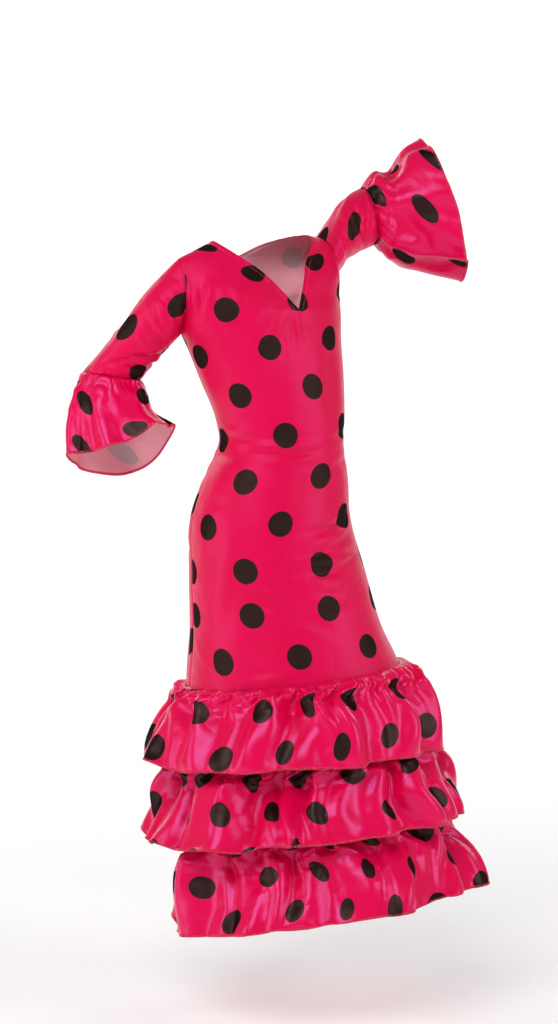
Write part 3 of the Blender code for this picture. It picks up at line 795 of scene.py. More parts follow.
# ---------------------------------------------------------------- shells
class Patch:
    """A grid of points of a piece's middle surface, each with its place on the flat cloth, how far it
    is lifted off the form, its distance from the nearest hem, and how hard a gathered seam draws it."""

    def __init__(self, points, flat, lift, hem, drawn, flipped=False):
        self.points, self.flat, self.lift, self.hem = points, flat, lift, hem
        self.drawn, self.flipped = drawn, flipped


def along(points, axis=1):
    steps = np.linalg.norm(np.diff(points, axis=axis), axis=-1)
    start = np.zeros_like(np.take(steps, [0], axis))
    return np.concatenate([start, np.cumsum(steps, axis)], axis)


def distance_to(points, line):
    """Distance of each point from a line of points."""
    run = along(line[None])[0]
    even = np.linspace(0, run[-1], max(2, int(run[-1] / 0.0006)))
    dense = np.stack([np.interp(even, run, line[:, i]) for i in range(3)], -1)
    tree = KDTree(len(dense))
    for i, p in enumerate(dense):
        tree.insert(p, i)
    tree.balance()
    return np.array([tree.find(p)[2] for p in points.reshape(-1, 3)]).reshape(points.shape[:-1])


def vertex_normals(points, quads):
    a, b, c, d = (points[quads[:, i]] for i in range(4))
    face = np.cross(c - a, d - b)
    normals = np.zeros_like(points)
    for i in range(4):
        np.add.at(normals, quads[:, i], face)
    return normals / np.maximum(np.linalg.norm(normals, axis=1), 1e-12)[:, None]


def eased(points, ways, rim_ways, level):
    """The points near a level, drawn to their neighbours' middle a few times."""
    free = np.exp(-(((points[:, 2] - level) / EASE_REACH) ** 2))
    free[rim_ways.ravel()] = 0
    near = free > 0.01
    ways = ways[near[ways[:, 0]] | near[ways[:, 1]]]
    count = np.zeros(len(points))
    np.add.at(count, ways[:, 0], 1)
    np.add.at(count, ways[:, 1], 1)
    for _ in range(EASE_ROUNDS):
        total = np.zeros_like(points)
        np.add.at(total, ways[:, 0], points[ways[:, 1]])
        np.add.at(total, ways[:, 1], points[ways[:, 0]])
        mean = total / np.maximum(count, 1)[:, None]
        points = points + 0.5 * (free * near)[:, None] * (mean - points)
    return points


def bake_places(plan, flat, right_faces, bands):
    """Where the corners of a shell's faces lie when its colours are baked: the right side in the lower
    half and the wrong side in the upper one, both cut into bands."""
    unit = (plan - flat.min(0)) / np.ptp(flat, axis=0)
    if np.ptp(flat[:, 1]) > np.ptp(flat[:, 0]):
        unit = unit[..., ::-1]
    band = np.clip(np.floor(unit[..., :1].mean(1, keepdims=True) * bands), 0, bands - 1)
    x = 0.01 + 0.98 * (unit[..., :1] * bands - band)
    y = (band + 0.02 + 0.96 * unit[..., 1:]) / bands / 2
    y[right_faces : 2 * right_faces] += 0.5
    y[2 * right_faces :] = y[2 * right_faces :, :1]
    return np.concatenate([x, y], -1)


def shell(name, patches, materials, bands=1, ease_at=None):
    """A two-sided shell over patches that share their touching edges. ease_at is a level where the
    patches meet, to be smoothed."""

    def joined(what, *width):
        return np.concatenate([getattr(p, what).reshape(-1, *width) for p in patches])

    points, flat = joined("points", 3), joined("flat", 2)
    quads, start = [], 0
    for patch in patches:
        rows, columns = patch.points.shape[:2]
        quad = quad_corners(rows, columns, start)
        quads.append(quad[:, ::-1] if patch.flipped else quad)
        start += rows * columns
    quads = np.concatenate(quads)

    keys = np.round(np.round(points, 9) / 1e-5).astype(np.int64)
    _, pick, to = np.unique(keys, axis=0, return_index=True, return_inverse=True)
    to = to.reshape(-1)
    middle, welded = points[pick], to[quads]
    edges = np.concatenate([quads[:, [i, (i + 1) % 4]] for i in range(4)])
    ways = to[edges]
    there, back = ways[:, 0] * len(middle) + ways[:, 1], ways[:, 1] * len(middle) + ways[:, 0]
    on_rim = ~np.isin(back, there)
    rim = edges[on_rim]
    if ease_at is not None:
        middle = eased(middle, ways, ways[on_rim], ease_at)
    lifted = middle + vertex_normals(middle, welded) * joined("lift")[pick][:, None]
    normals = vertex_normals(lifted, welded)
    verts = np.concatenate([lifted + normals * CLOTH / 2, lifted - normals * CLOTH / 2])

    corners = np.concatenate([
        quads,
        quads[:, ::-1] + len(points),
        np.stack([rim[:, 1], rim[:, 0], rim[:, 0] + len(points), rim[:, 1] + len(points)], -1),
    ])
    mesh = quad_mesh(name, verts, np.concatenate([to, to + len(middle)])[corners])
    slots = np.zeros(len(corners), int)
    slots[len(quads) : 2 * len(quads)] = 1
    mesh.polygons.foreach_set("material_index", slots)
    mesh.update(calc_edges=True)
    mesh.validate()
    mesh.shade_smooth()

    plan = flat[corners % len(points)]
    for layer, values in (("cloth", plan), ("OFBake", bake_places(plan, flat, len(quads), bands))):
        uv = mesh.uv_layers.new(name=layer)
        uv.uv.foreach_set("vector", values.reshape(-1).astype(np.float32))
    mesh.uv_layers.active = mesh.uv_layers["cloth"]
    for label in ("hem", "drawn"):
        attribute = mesh.attributes.new(label, "FLOAT", "POINT")
        attribute.data.foreach_set("value", np.tile(joined(label)[pick], 2).astype(np.float32))
    for material in materials:
        mesh.materials.append(material)
    return placed(name, mesh)


# ---------------------------------------------------------------- creases
# A crease in the flat cloth: u and v its middle in metres, angle its direction (0 along u, 90 up), long
# and wide its size, depth how deep it sinks (less than 0 stands up), bend how far it bows.
Crease = namedtuple("Crease", "u v angle long wide depth bend", defaults=[0.0])
CREASES = {
    "front": [
        # Beside the right armhole.
        Crease(-0.132, -0.041, 84, 0.050, 0.0050, -0.0023),
        Crease(-0.124, -0.043, 66, 0.056, 0.0050, 0.0020),
        Crease(-0.115, -0.040, 72, 0.050, 0.0045, -0.0017),
        Crease(-0.078, -0.039, -80, 0.045, 0.0060, -0.0013),
        Crease(-0.100, -0.088, -58, 0.050, 0.0070, 0.0014),
        # Drawn from the V's point.
        Crease(-0.030, -0.083, 66, 0.060, 0.0050, -0.0013),
        Crease(-0.009, -0.089, 88, 0.062, 0.0035, 0.0014),
        Crease(-0.002, -0.080, -72, 0.040, 0.0040, -0.0012),
        Crease(0.022, -0.082, 12, 0.045, 0.0040, 0.0014, 0.004),
        Crease(-0.048, -0.070, 48, 0.050, 0.0070, 0.0012),
        # Across the waist.
        Crease(-0.085, -0.207, 3, 0.075, 0.0045, -0.0019),
        Crease(-0.080, -0.217, 2, 0.060, 0.0040, 0.0014),
        Crease(-0.035, -0.227, 1, 0.110, 0.0048, -0.0022, 0.003),
        Crease(-0.030, -0.236, 2, 0.090, 0.0040, 0.0016, 0.003),
        Crease(-0.012, -0.244, 6, 0.055, 0.0040, -0.0016),
        Crease(0.055, -0.215, 10, 0.060, 0.0050, 0.0017),
        Crease(0.060, -0.250, 14, 0.060, 0.0060, 0.0017),
        Crease(-0.115, -0.240, -8, 0.060, 0.0055, 0.0017),
        # Falling from the wearer's left hip.
        Crease(0.052, -0.326, 16, 0.080, 0.0060, 0.0030, 0.004),
        Crease(0.050, -0.338, 14, 0.070, 0.0060, -0.0020, 0.004),
        Crease(0.028, -0.358, 9, 0.080, 0.0060, 0.0026, 0.003),
        Crease(0.060, -0.366, 18, 0.060, 0.0055, -0.0019),
        Crease(0.034, -0.381, 8, 0.085, 0.0065, 0.0032, 0.004),
        Crease(-0.022, -0.402, -12, 0.080, 0.0070, 0.0017),
        Crease(0.046, -0.398, 12, 0.070, 0.0060, -0.0020),
        Crease(-0.018, -0.430, -26, 0.085, 0.0075, 0.0035, -0.003),
        Crease(0.010, -0.414, -22, 0.080, 0.0070, -0.0020, -0.003),
        Crease(0.060, -0.424, 24, 0.060, 0.0070, 0.0017),
        # Low on the wearer's right, drawn to the side seam.
        Crease(-0.158, -0.486, -46, 0.070, 0.0035, -0.0022, 0.003),
        Crease(-0.143, -0.490, -37, 0.075, 0.0038, -0.0019, 0.003),
        Crease(-0.150, -0.492, -42, 0.070, 0.0040, 0.0016, 0.003),
        Crease(-0.073, -0.506, 2, 0.045, 0.0050, -0.0014),
        Crease(-0.118, -0.297, -6, 0.060, 0.0065, 0.0014),
        Crease(-0.110, -0.345, 58, 0.080, 0.0110, 0.0013),
        Crease(-0.100, -0.420, 66, 0.090, 0.0120, 0.0013),
        # Soft hollows over the chest.
        Crease(-0.060, -0.120, 70, 0.110, 0.0180, -0.0020),
        Crease(-0.115, -0.140, -68, 0.090, 0.0140, 0.0017),
        Crease(0.045, -0.140, 76, 0.090, 0.0130, 0.0014),
    ],
    "back": [
        Crease(-0.105, -0.035, -70, 0.060, 0.0055, 0.0018),
        Crease(-0.090, -0.040, -66, 0.050, 0.0055, -0.0016),
        Crease(0.100, -0.045, 74, 0.060, 0.0060, 0.0018),
        Crease(0.080, -0.030, 66, 0.055, 0.0055, -0.0013),
        Crease(0.000, -0.055, 88, 0.090, 0.0110, 0.0016),
        Crease(-0.040, -0.090, -64, 0.080, 0.0090, 0.0013),
        Crease(0.050, -0.100, 60, 0.080, 0.0100, -0.0012),
        # Short horizontal folds in the hollow of the back.
        Crease(-0.030, -0.190, 4, 0.110, 0.0055, 0.0023, 0.003),
        Crease(-0.020, -0.203, 2, 0.120, 0.0055, -0.0021, 0.003),
        Crease(0.010, -0.218, -3, 0.130, 0.0060, 0.0029, 0.004),
        Crease(0.040, -0.233, -6, 0.100, 0.0055, -0.0021),
        Crease(-0.060, -0.236, 8, 0.090, 0.0060, 0.0021),
        Crease(0.000, -0.250, 2, 0.120, 0.0065, 0.0023, -0.003),
        Crease(0.085, -0.262, -18, 0.070, 0.0055, 0.0017),
        Crease(-0.095, -0.268, 20, 0.070, 0.0060, 0.0017),
        # Below the seat.
        Crease(0.050, -0.392, -12, 0.110, 0.0080, 0.0023, -0.004),
        Crease(-0.060, -0.402, 14, 0.110, 0.0080, 0.0023, -0.004),
        Crease(0.100, -0.345, -26, 0.090, 0.0070, 0.0018),
        Crease(-0.105, -0.350, 28, 0.090, 0.0070, 0.0017),
        Crease(0.020, -0.440, -62, 0.100, 0.0120, 0.0018),
        Crease(-0.080, -0.460, 64, 0.100, 0.0110, 0.0018),
        Crease(0.130, -0.470, -48, 0.080, 0.0060, -0.0017),
        Crease(-0.140, -0.480, 44, 0.080, 0.0060, 0.0017),
    ],
    # Round the arm from the armpit, the front of the arm at a quarter of the way back from the end.
    "right": [
        Crease(0.127, -0.004, 41, 0.020, 0.0040, 0.0020),
        Crease(0.160, -0.010, 11, 0.055, 0.0045, -0.0020),
        Crease(0.148, -0.022, 20, 0.050, 0.0045, 0.0020),
        Crease(0.167, -0.060, -20, 0.050, 0.0042, 0.0024),
        Crease(0.177, -0.047, -7, 0.065, 0.0042, -0.0024),
        Crease(0.150, -0.040, -14, 0.050, 0.0045, 0.0020),
        Crease(0.176, -0.094, 40, 0.085, 0.0050, 0.0032),
        Crease(0.172, -0.104, 8, 0.050, 0.0040, -0.0024),
        Crease(0.168, -0.082, -27, 0.045, 0.0040, -0.0022),
        Crease(0.165, -0.120, 3, 0.070, 0.0045, 0.0024),
        Crease(0.195, -0.070, 60, 0.050, 0.0050, 0.0020),
        Crease(0.060, -0.040, 24, 0.060, 0.0055, 0.0024),
        Crease(0.045, -0.065, -18, 0.060, 0.0055, 0.0024),
        Crease(0.075, -0.090, 12, 0.060, 0.0050, -0.0024),
        Crease(0.050, -0.112, -6, 0.070, 0.0050, 0.0026),
        Crease(0.105, -0.070, -70, 0.060, 0.0080, 0.0020),
        Crease(0.010, -0.090, 14, 0.050, 0.0050, 0.0024),
    ],
    "left": [
        Crease(0.146, -0.062, -12, 0.040, 0.0040, 0.0023),
        Crease(0.152, -0.042, -9, 0.050, 0.0042, -0.0021),
        Crease(0.160, -0.030, -14, 0.050, 0.0042, 0.0018),
        Crease(0.170, -0.080, -86, 0.035, 0.0045, 0.0018),
        Crease(0.151, -0.092, 4, 0.045, 0.0040, -0.0021),
        Crease(0.172, -0.060, -24, 0.045, 0.0040, -0.0018),
        Crease(0.185, -0.078, 8, 0.045, 0.0045, 0.0021),
        Crease(0.195, -0.040, -30, 0.050, 0.0055, 0.0023),
        Crease(0.060, -0.045, 16, 0.060, 0.0055, 0.0023),
        Crease(0.075, -0.070, -10, 0.055, 0.0050, -0.0021),
        Crease(0.040, -0.080, 8, 0.055, 0.0050, 0.0023),
        Crease(0.110, -0.050, 72, 0.050, 0.0065, 0.0018),
        Crease(0.015, -0.060, -16, 0.050, 0.0050, 0.0021),
    ],
}


def creased(flat, table, around=None):
    """How far creased cloth stands off its form."""
    total = np.zeros(flat.shape[:-1])
    for crease in table:
        du = flat[..., 0] - crease.u
        dv = flat[..., 1] - crease.v
        if around:
            du = (du + around / 2) % around - around / 2
        angle = math.radians(crease.angle)
        with_it = du * math.cos(angle) + dv * math.sin(angle)
        across = dv * math.cos(angle) - du * math.sin(angle)
        across = across - crease.bend * (with_it / crease.long * 2) ** 2
        body = np.exp(-((across / crease.wide) ** 2))
        shoulders = CREASE_SHOULDER * np.exp(-((np.abs(across) / crease.wide - SHOULDER_AT) ** 2))
        ends = np.exp(-((with_it / crease.long * 2) ** 2) * CREASE_ENDS)
        total -= crease.depth * (body - shoulders) * ends
    return total


# ---------------------------------------------------------------- panels and sleeves
def seam_valley(distance):
    return -SEAM_DEPTH * np.exp(-((distance / SEAM_WIDTH) ** 2))


def off_seam(distance):
    """A seam holds the cloth: creases die out towards it."""
    return 1 - np.exp(-((distance / SEAM_HOLD) ** 2))


def neck_edge(distance):
    """The turned edge stands a little proud, with the stitching drawn in along its inner side."""
    band = NECK_STAND * (0.5 - 0.5 * np.tanh((distance - NECK_BAND) / 0.0012))
    groove = NECK_GROOVE * np.exp(-(((distance - NECK_BAND) / 0.0011) ** 2))
    return band - groove - NECK_ROUND * np.exp(-((distance / 0.0012) ** 2))


def panel_patches(front):
    levels = np.linspace(FOOT, CHEST.level, PANEL_ROWS + 1)
    first, last = seam_angle(-1, levels), seam_angle(1, levels)
    if not front:
        first, last = last, first + 360
    inset = math.degrees(GAP / 2 / CHEST.wide)
    share = np.linspace(0, 1, PANEL_COLUMNS + 1)
    angles = (first + inset)[:, None] * (1 - share) + (last - inset)[:, None] * share
    lower = tube(angles, levels[:, None])
    run = along(lower)
    middle_angle = -90 if front else 90
    centre = np.array([np.interp(middle_angle, a, r) for a, r in zip(angles, run)])
    flat = np.stack(np.broadcast_arrays(run - centre[:, None], levels[:, None]), -1)
    far = np.full(lower.shape[:2], 1.0)
    name = "front" if front else "back"

    dense = np.linspace(FOOT, CHEST.level, 1200)
    seams = [tube(seam_angle(sign, dense), dense) for sign in (-1, 1)]
    necks = []
    line = V_NECK if front else BACK_NECK
    for yoke in YOKES:
        rows = np.linspace(0, yoke.armpit_row, 40)
        seams.append(side_seam(yoke)(rows))
        rows = np.linspace(yoke.armpit_row, YOKE_ROWS, 300)
        seams.append(armhole(yoke)(rows if front else 2 * YOKE_ROWS - rows))
        seams.append(np.array([chest(yoke.shoulder), chest(yoke.neck)]))
        rows = np.linspace(line.row, YOKE_ROWS, 300)
        necks.append(neckline(yoke)(rows if front else 2 * YOKE_ROWS - rows))

    def lift(points, flat):
        seam = np.minimum.reduce([distance_to(points, s) for s in seams])
        neck = np.minimum.reduce([distance_to(points, n) for n in necks])
        return seam_valley(seam) + neck_edge(neck) + off_seam(seam) * creased(flat, CREASES[name]), neck

    low_lift, _ = lift(lower, flat)
    patches = [Patch(lower, flat, low_lift, far, 0 * far)]
    for yoke in YOKES:
        row, grid = yoke_grid(yoke, front, PANEL_COLUMNS // 2)
        on_first_edge = (yoke.name == "right") == front
        rim = lower[-1] if on_first_edge else lower[-1][::-1]
        grid[0] = rim[: PANEL_COLUMNS // 2 + 1]
        towards = np.array([*turned(0.0, -1.0 if front else 1.0, CHEST.turn), 0])
        grid[1 : yoke.armpit_row * YOKE_SUBROWS + 1, 0] += towards * GAP / 2
        grid[-1] += towards * GAP / 2
        run = along(grid)
        inner = np.abs((grid[:, -1] - chest((0, 0, 0))) @ np.array([*turned(1.0, 0.0, CHEST.turn), 0]))
        inner = np.where(row < line.row, 0, inner)
        side = yoke.sign if front else -yoke.sign
        u = side * (inner[:, None] + run[:, -1:] - run)
        v = CHEST.level + along(grid, 0)
        yoke_flat = np.stack([u, v], -1)
        yoke_lift, neck = lift(grid, yoke_flat)
        patches.append(Patch(grid, yoke_flat, yoke_lift, neck + 0.02, 0 * neck, flipped=not on_first_edge))
    return patches


def closed_patch(points, flat_u, flat_v, lift, hem, drawn):
    """A patch round a tube, its last column on its first, facing out."""
    points, lift, hem, drawn = (np.concatenate([a, a[:, :1]], 1) for a in (points, lift, hem, drawn))
    flat = np.stack(np.broadcast_arrays(flat_u, flat_v), -1)
    across = np.cross(np.diff(points, axis=1)[:-1], np.diff(points, axis=0)[:, :-1])
    outward = points[:-1, :-1] - points[:-1].mean(1, keepdims=True)
    return Patch(points, flat, lift, hem, drawn, flipped=(across * outward).sum() < 0)


def sleeve_patch(yoke):
    rows = SLEEVE_ROWS[yoke.name]
    share = np.arange(SLEEVE_COLUMNS) / SLEEVE_COLUMNS + 0.5
    down = np.linspace(0, 1, rows + 1)[:, None]
    points = sleeve_surface(yoke)(share, down)
    girth = along(np.concatenate([points, points[:, :1]], 1))[:, -1].mean()
    length = along(points, 0)[-1].mean()
    flat_u = np.linspace(0, girth, SLEEVE_COLUMNS + 1)
    flat_v = -down * length
    edge = np.minimum(down * length, (1 - down) * length) + 0 * points[..., 0]
    flat = np.stack(np.broadcast_arrays(flat_u[:-1], flat_v), -1)
    lift = seam_valley(edge) + off_seam(edge) * creased(flat, CREASES[yoke.name], girth)
    at_cuff = np.exp(-(((1 - down) * length / 0.010) ** 2)) + 0 * lift
    return closed_patch(points, flat_u, flat_v, lift, np.ones(lift.shape), at_cuff), (girth, length)


def surface_length(surface):
    """How long a tube's surface is from its first ring to its last, on average."""
    points = surface(round_once(), np.linspace(0, 1, 40)[:, None])
    return float(along(points, 0)[-1].mean())


def strip_patch(strip, under):
    """A strip's patch, its points, the grid that the next strip lies on, and its hem's length."""
    rows, columns, height = strip.rows, strip.columns, strip.height
    points, downs, lengths = ruffle_points(strip)
    points = cleared(points, downs, under, SETTLE_CLEAR)
    coarse = settled(points, downs, lengths, height, under, strip.gravity)
    coarse = cleared(smoothed(coarse, downs, lengths), downs, under, CLOTH)
    points = refined(coarse)
    finer = np.arange(2 * rows + 1) / 2
    downs = np.interp(finer, np.arange(rows + 1), downs)
    lengths = np.interp(finer, np.arange(rows + 1), lengths)
    flat_u = lengths[:, None] * (np.linspace(0, 1, 2 * columns + 1) - 0.5) + lengths[-1] / 2
    flat_v = -downs[:, None] * height
    lift = np.zeros(points.shape[:2])
    hem = (1 - downs)[:, None] * height + lift
    drawn = np.exp(-((downs[:, None] * height / DRAWN_REACH) ** 2)) + lift
    return closed_patch(points, flat_u, flat_v, lift, hem, drawn), points, coarse, lengths[-1]


# ---------------------------------------------------------------- sewing
def thread_tube(path, closed, radius, sides):
    """The points of a thread along a line of points, and whether it closes."""
    ahead = np.roll(path, -1, 0) - np.roll(path, 1, 0) if closed else np.gradient(path, axis=0)
    ahead /= np.linalg.norm(ahead, axis=1)[:, None]
    side = np.cross(ahead, np.roll(ahead, 3, 0) + [0.013, 0.021, 0.034])
    side /= np.linalg.norm(side, axis=1)[:, None]
    other = np.cross(ahead, side)
    turn = np.arange(sides) / sides * TURN
    ring = np.cos(turn)[None, :, None] * side[:, None] + np.sin(turn)[None, :, None] * other[:, None]
    return path[:, None] + radius * ring, closed


def seam_paths():
    """The lines of the seams round the body and arms, drawn a little way in, as points and whether
    they close."""
    levels = np.arange(TIERS[0].seam, CHEST.level, 0.002)
    for yoke in YOKES:
        below = tube(seam_angle(yoke.sign, levels), levels)
        above = side_seam(yoke)(np.arange(0, yoke.armpit_row, 0.2))
        side = np.concatenate([below, above])
        axis = np.array([0.02, 0.0, 0.0]) * [1, 1, 0] + side * [0, 0, 1]
        yield side + (axis - side) / np.linalg.norm(axis - side, axis=1)[:, None] * SEAM_SUNK, False
        share = np.linspace(0, 1, 150, endpoint=False)
        for ring in (armhole_ring(yoke, share), hoop_ring(SLEEVES[yoke.name][-1], share)):
            way = ring.mean(0) - ring
            yield ring + way / np.linalg.norm(way, axis=1)[:, None] * SEAM_SUNK, True
        ends = np.array([chest(yoke.shoulder), chest(yoke.neck)]) - [0, 0, SEAM_SUNK]
        yield ends[0] + np.linspace(0, 1, 20)[:, None] * (ends[1] - ends[0]), False


def neck_stitches(patch, first_row):
    """The short stitches that hold down the neckline's turned edge."""
    grid = patch.points[first_row:, ::-1]
    run = along(grid)

    def line(inwards):
        return np.array([[np.interp(inwards, r, p[:, i]) for i in range(3)] for r, p in zip(run, grid)])

    path = line(NECK_BAND)
    out = np.cross(line(NECK_BAND + 0.003) - path, np.gradient(path, axis=0))
    out *= 1 if patch.flipped else -1
    out /= np.linalg.norm(out, axis=1)[:, None]
    length = along(path[None])[0]
    tubes = []
    for start in np.arange(0.001, length[-1] - STITCH_LONG, STITCH_PITCH):
        at = start + np.linspace(0, STITCH_LONG, len(STITCH_RISE))
        read = lambda p: np.stack([np.interp(at, length, p[:, i]) for i in range(3)], -1)
        height = CLOTH / 2 - THREAD_RADIUS + STITCH_RISE
        stitch = read(path) + read(out) * height[:, None]
        tubes.append(thread_tube(stitch, False, THREAD_RADIUS, THREAD_SIDES))
    return tubes


def mesh_from_tubes(name, tubes, material):
    verts, faces, start = [], [], 0
    for points, closed in tubes:
        rows, columns = points.shape[:2]
        verts.append(points.reshape(-1, 3))
        faces.append(quad_corners(rows, columns, start, round_columns=True, round_rows=closed))
        start += rows * columns
    mesh = quad_mesh(name, np.concatenate(verts), np.concatenate(faces))
    mesh.update(calc_edges=True)
    mesh.validate()
    mesh.shade_smooth()
    mesh.materials.append(material)
    return placed(name, mesh)


def overlock(name, grid, material):
    """The overlocked edge of a closed strip: thread wound round the hem's edge. The loops reach up the
    cloth, and their pitch is even along the edge."""
    edge, above = grid[-1], grid[-2]
    run = along(np.concatenate([edge, edge[:1]])[None])[0]
    turns = int(run[-1] / OVERLOCK_PITCH)
    steps = turns * OVERLOCK_STEPS
    at = np.arange(steps) / steps * run[-1]
    read = lambda p: np.stack([np.interp(at, run, np.append(p[:, i], p[0, i])) for i in range(3)], -1)
    edge, above = read(edge), read(above)
    up = above - edge
    up /= np.linalg.norm(up, axis=1)[:, None]
    ahead = np.roll(edge, -1, 0) - np.roll(edge, 1, 0)
    out = np.cross(ahead, up)
    out /= np.linalg.norm(out, axis=1)[:, None]
    turn = np.arange(steps) / OVERLOCK_STEPS * TURN
    path = edge + up * (OVERLOCK_DEEP / 2 - OVERLOCK_BELOW - OVERLOCK_DEEP / 2 * np.cos(turn))[:, None]
    path += out * (OVERLOCK_OUT * np.sin(turn))[:, None]
    return mesh_from_tubes(name, [thread_tube(path, True, THREAD_RADIUS, THREAD_SIDES)], material)


# ---------------------------------------------------------------- materials
class Nodes:
    """Short ways to add nodes to a material."""

    def __init__(self, name):
        self.material = bpy.data.materials.new(name)
        self.material.use_nodes = True
        self.tree = self.material.node_tree
        self.shader = self.tree.nodes["Principled BSDF"]

    def put(self, socket, value):
        if isinstance(value, bpy.types.NodeSocket):
            self.tree.links.new(value, socket)
        elif isinstance(value, (tuple, list)) and len(value) == 3 and socket.type == "RGBA":
            socket.default_value = (*value, 1)
        else:
            socket.default_value = value

    def math(self, operation, *values):
        node = self.tree.nodes.new("ShaderNodeMath")
        node.operation = operation
        for socket, value in zip(node.inputs, values):
            self.put(socket, value)
        return node.outputs[0]

    def plus(self, a, b):
        return self.math("ADD", a, b)

    def minus(self, a, b):
        return self.math("SUBTRACT", a, b)

    def times(self, a, b):
        return self.math("MULTIPLY", a, b)

    def mix(self, factor, a, b):
        node = self.tree.nodes.new("ShaderNodeMix")
        node.data_type = "RGBA"
        self.put(node.inputs["Factor"], factor)
        self.put(node.inputs[6], a)
        self.put(node.inputs[7], b)
        return node.outputs[2]

    def steps(self, value, low, high):
        """0 below low and 1 above high, smoothly."""
        node = self.tree.nodes.new("ShaderNodeMapRange")
        node.interpolation_type = "SMOOTHSTEP"
        self.put(node.inputs["Value"], value)
        self.put(node.inputs["From Min"], low)
        self.put(node.inputs["From Max"], high)
        return node.outputs[0]

    def flat(self):
        """The place on the flat cloth, in metres."""
        uv = self.tree.nodes.new("ShaderNodeUVMap")
        uv.uv_map = "cloth"
        parts = self.tree.nodes.new("ShaderNodeSeparateXYZ")
        self.tree.links.new(uv.outputs[0], parts.inputs[0])
        return uv.outputs[0], parts.outputs[0], parts.outputs[1]

    def noise(self, vector, scale, detail=2.0, stretch=None):
        if stretch:
            node = self.tree.nodes.new("ShaderNodeVectorMath")
            node.operation = "MULTIPLY"
            self.put(node.inputs[0], vector)
            node.inputs[1].default_value = stretch
            vector = node.outputs[0]
        node = self.tree.nodes.new("ShaderNodeTexNoise")
        self.put(node.inputs["Vector"], vector)
        node.inputs["Scale"].default_value = scale
        node.inputs["Detail"].default_value = detail
        return node.outputs["Fac"]

    def bump(self, height, strength, distance, under=None):
        node = self.tree.nodes.new("ShaderNodeBump")
        node.inputs["Strength"].default_value = strength
        node.inputs["Distance"].default_value = distance
        self.put(node.inputs["Height"], height)
        if under is not None:
            self.put(node.inputs["Normal"], under)
        return node.outputs[0]

    def attribute(self, name):
        node = self.tree.nodes.new("ShaderNodeAttribute")
        node.attribute_name = name
        return node.outputs["Fac"]


def dots(nodes, u, v):
    """1 inside the staggered printed dots."""
    row = nodes.math("ROUND", nodes.math("DIVIDE", v, DOT_DOWN))
    odd = nodes.math("PINGPONG", nodes.plus(row, nodes.math("LESS_THAN", row, UNSTAGGERED)), 1.0)
    column = nodes.plus(nodes.math("DIVIDE", u, DOT_ACROSS), nodes.times(odd, 0.5))
    across = nodes.minus(column, nodes.math("ROUND", column))
    across = nodes.times(across, DOT_ACROSS)
    down = nodes.minus(v, nodes.times(row, DOT_DOWN))
    square = nodes.plus(nodes.times(across, across), nodes.times(down, down))
    distance = nodes.math("SQRT", square)
    return nodes.minus(1.0, nodes.steps(distance, DOT_RADIUS - 0.0005, DOT_RADIUS + 0.0005))


def satin_ground(nodes, place, slub, inside, tone):
    """The cloth's colour between the dots: blotches, slubs and a darker hem, the right side's pinks darkened
    by tone as painted shade.
    """
    blotch = nodes.noise(place, 14.0, 3.0)
    past_hem = nodes.steps(nodes.attribute("hem"), 0.0022, 0.0032)
    if inside:
        # The wrong side's pink is lightened beyond its own colour: painted light standing in for light
        # through the cloth.
        ground = nodes.mix(blotch, INSIDE_PALE_AND_LIT_THROUGH, tuple(c * 0.86 for c in INSIDE_PALE_AND_LIT_THROUGH))
        return nodes.mix(past_hem, INSIDE_HEM, ground)
    # tone darkens the pinks as painted shade, the body's copy the most.
    pink, deep, slubbed = (tuple(c * tone for c in colour) for colour in (PINK, PINK_DEEP, PINK_SLUB))
    ground = nodes.mix(nodes.steps(blotch, 0.35, 0.7), pink, deep)
    ground = nodes.mix(nodes.times(slub, 0.25), ground, slubbed)
    return nodes.mix(past_hem, HEM_PINK, ground)


def satin_relief(nodes, place, u, v, crumple):
    """Small folds, puckers under a gathered seam, soft dents and the twill's lines."""
    fold = nodes.math("ABSOLUTE", nodes.minus(nodes.noise(place, 12.0, 2.0), 0.5))
    small_fold = nodes.noise(place, 26.0, 1.0, (1.0, 0.8, 1.0))
    small_fold = nodes.math("ABSOLUTE", nodes.minus(small_fold, 0.5))
    off_hem = nodes.steps(nodes.attribute("hem"), 0.01, 0.10)
    small_fold = nodes.times(small_fold, nodes.times(off_hem, 0.45))
    normal = nodes.bump(nodes.plus(fold, small_fold), crumple, 0.016)
    pucker = nodes.times(nodes.noise(place, 30.0, 1.0, (5.5, 0.6, 1.0)), nodes.attribute("drawn"))
    normal = nodes.bump(pucker, 0.8, 0.0035, normal)
    dent = nodes.noise(place, 55.0, 2.0, (1.0, 0.55, 1.0))
    normal = nodes.bump(dent, 0.35, 0.0012, normal)
    twill = nodes.times(nodes.plus(u, v), TURN / WEAVE)
    weave = nodes.times(nodes.math("SINE", twill), 0.5)
    return nodes.bump(weave, 0.12, 0.00012, normal)


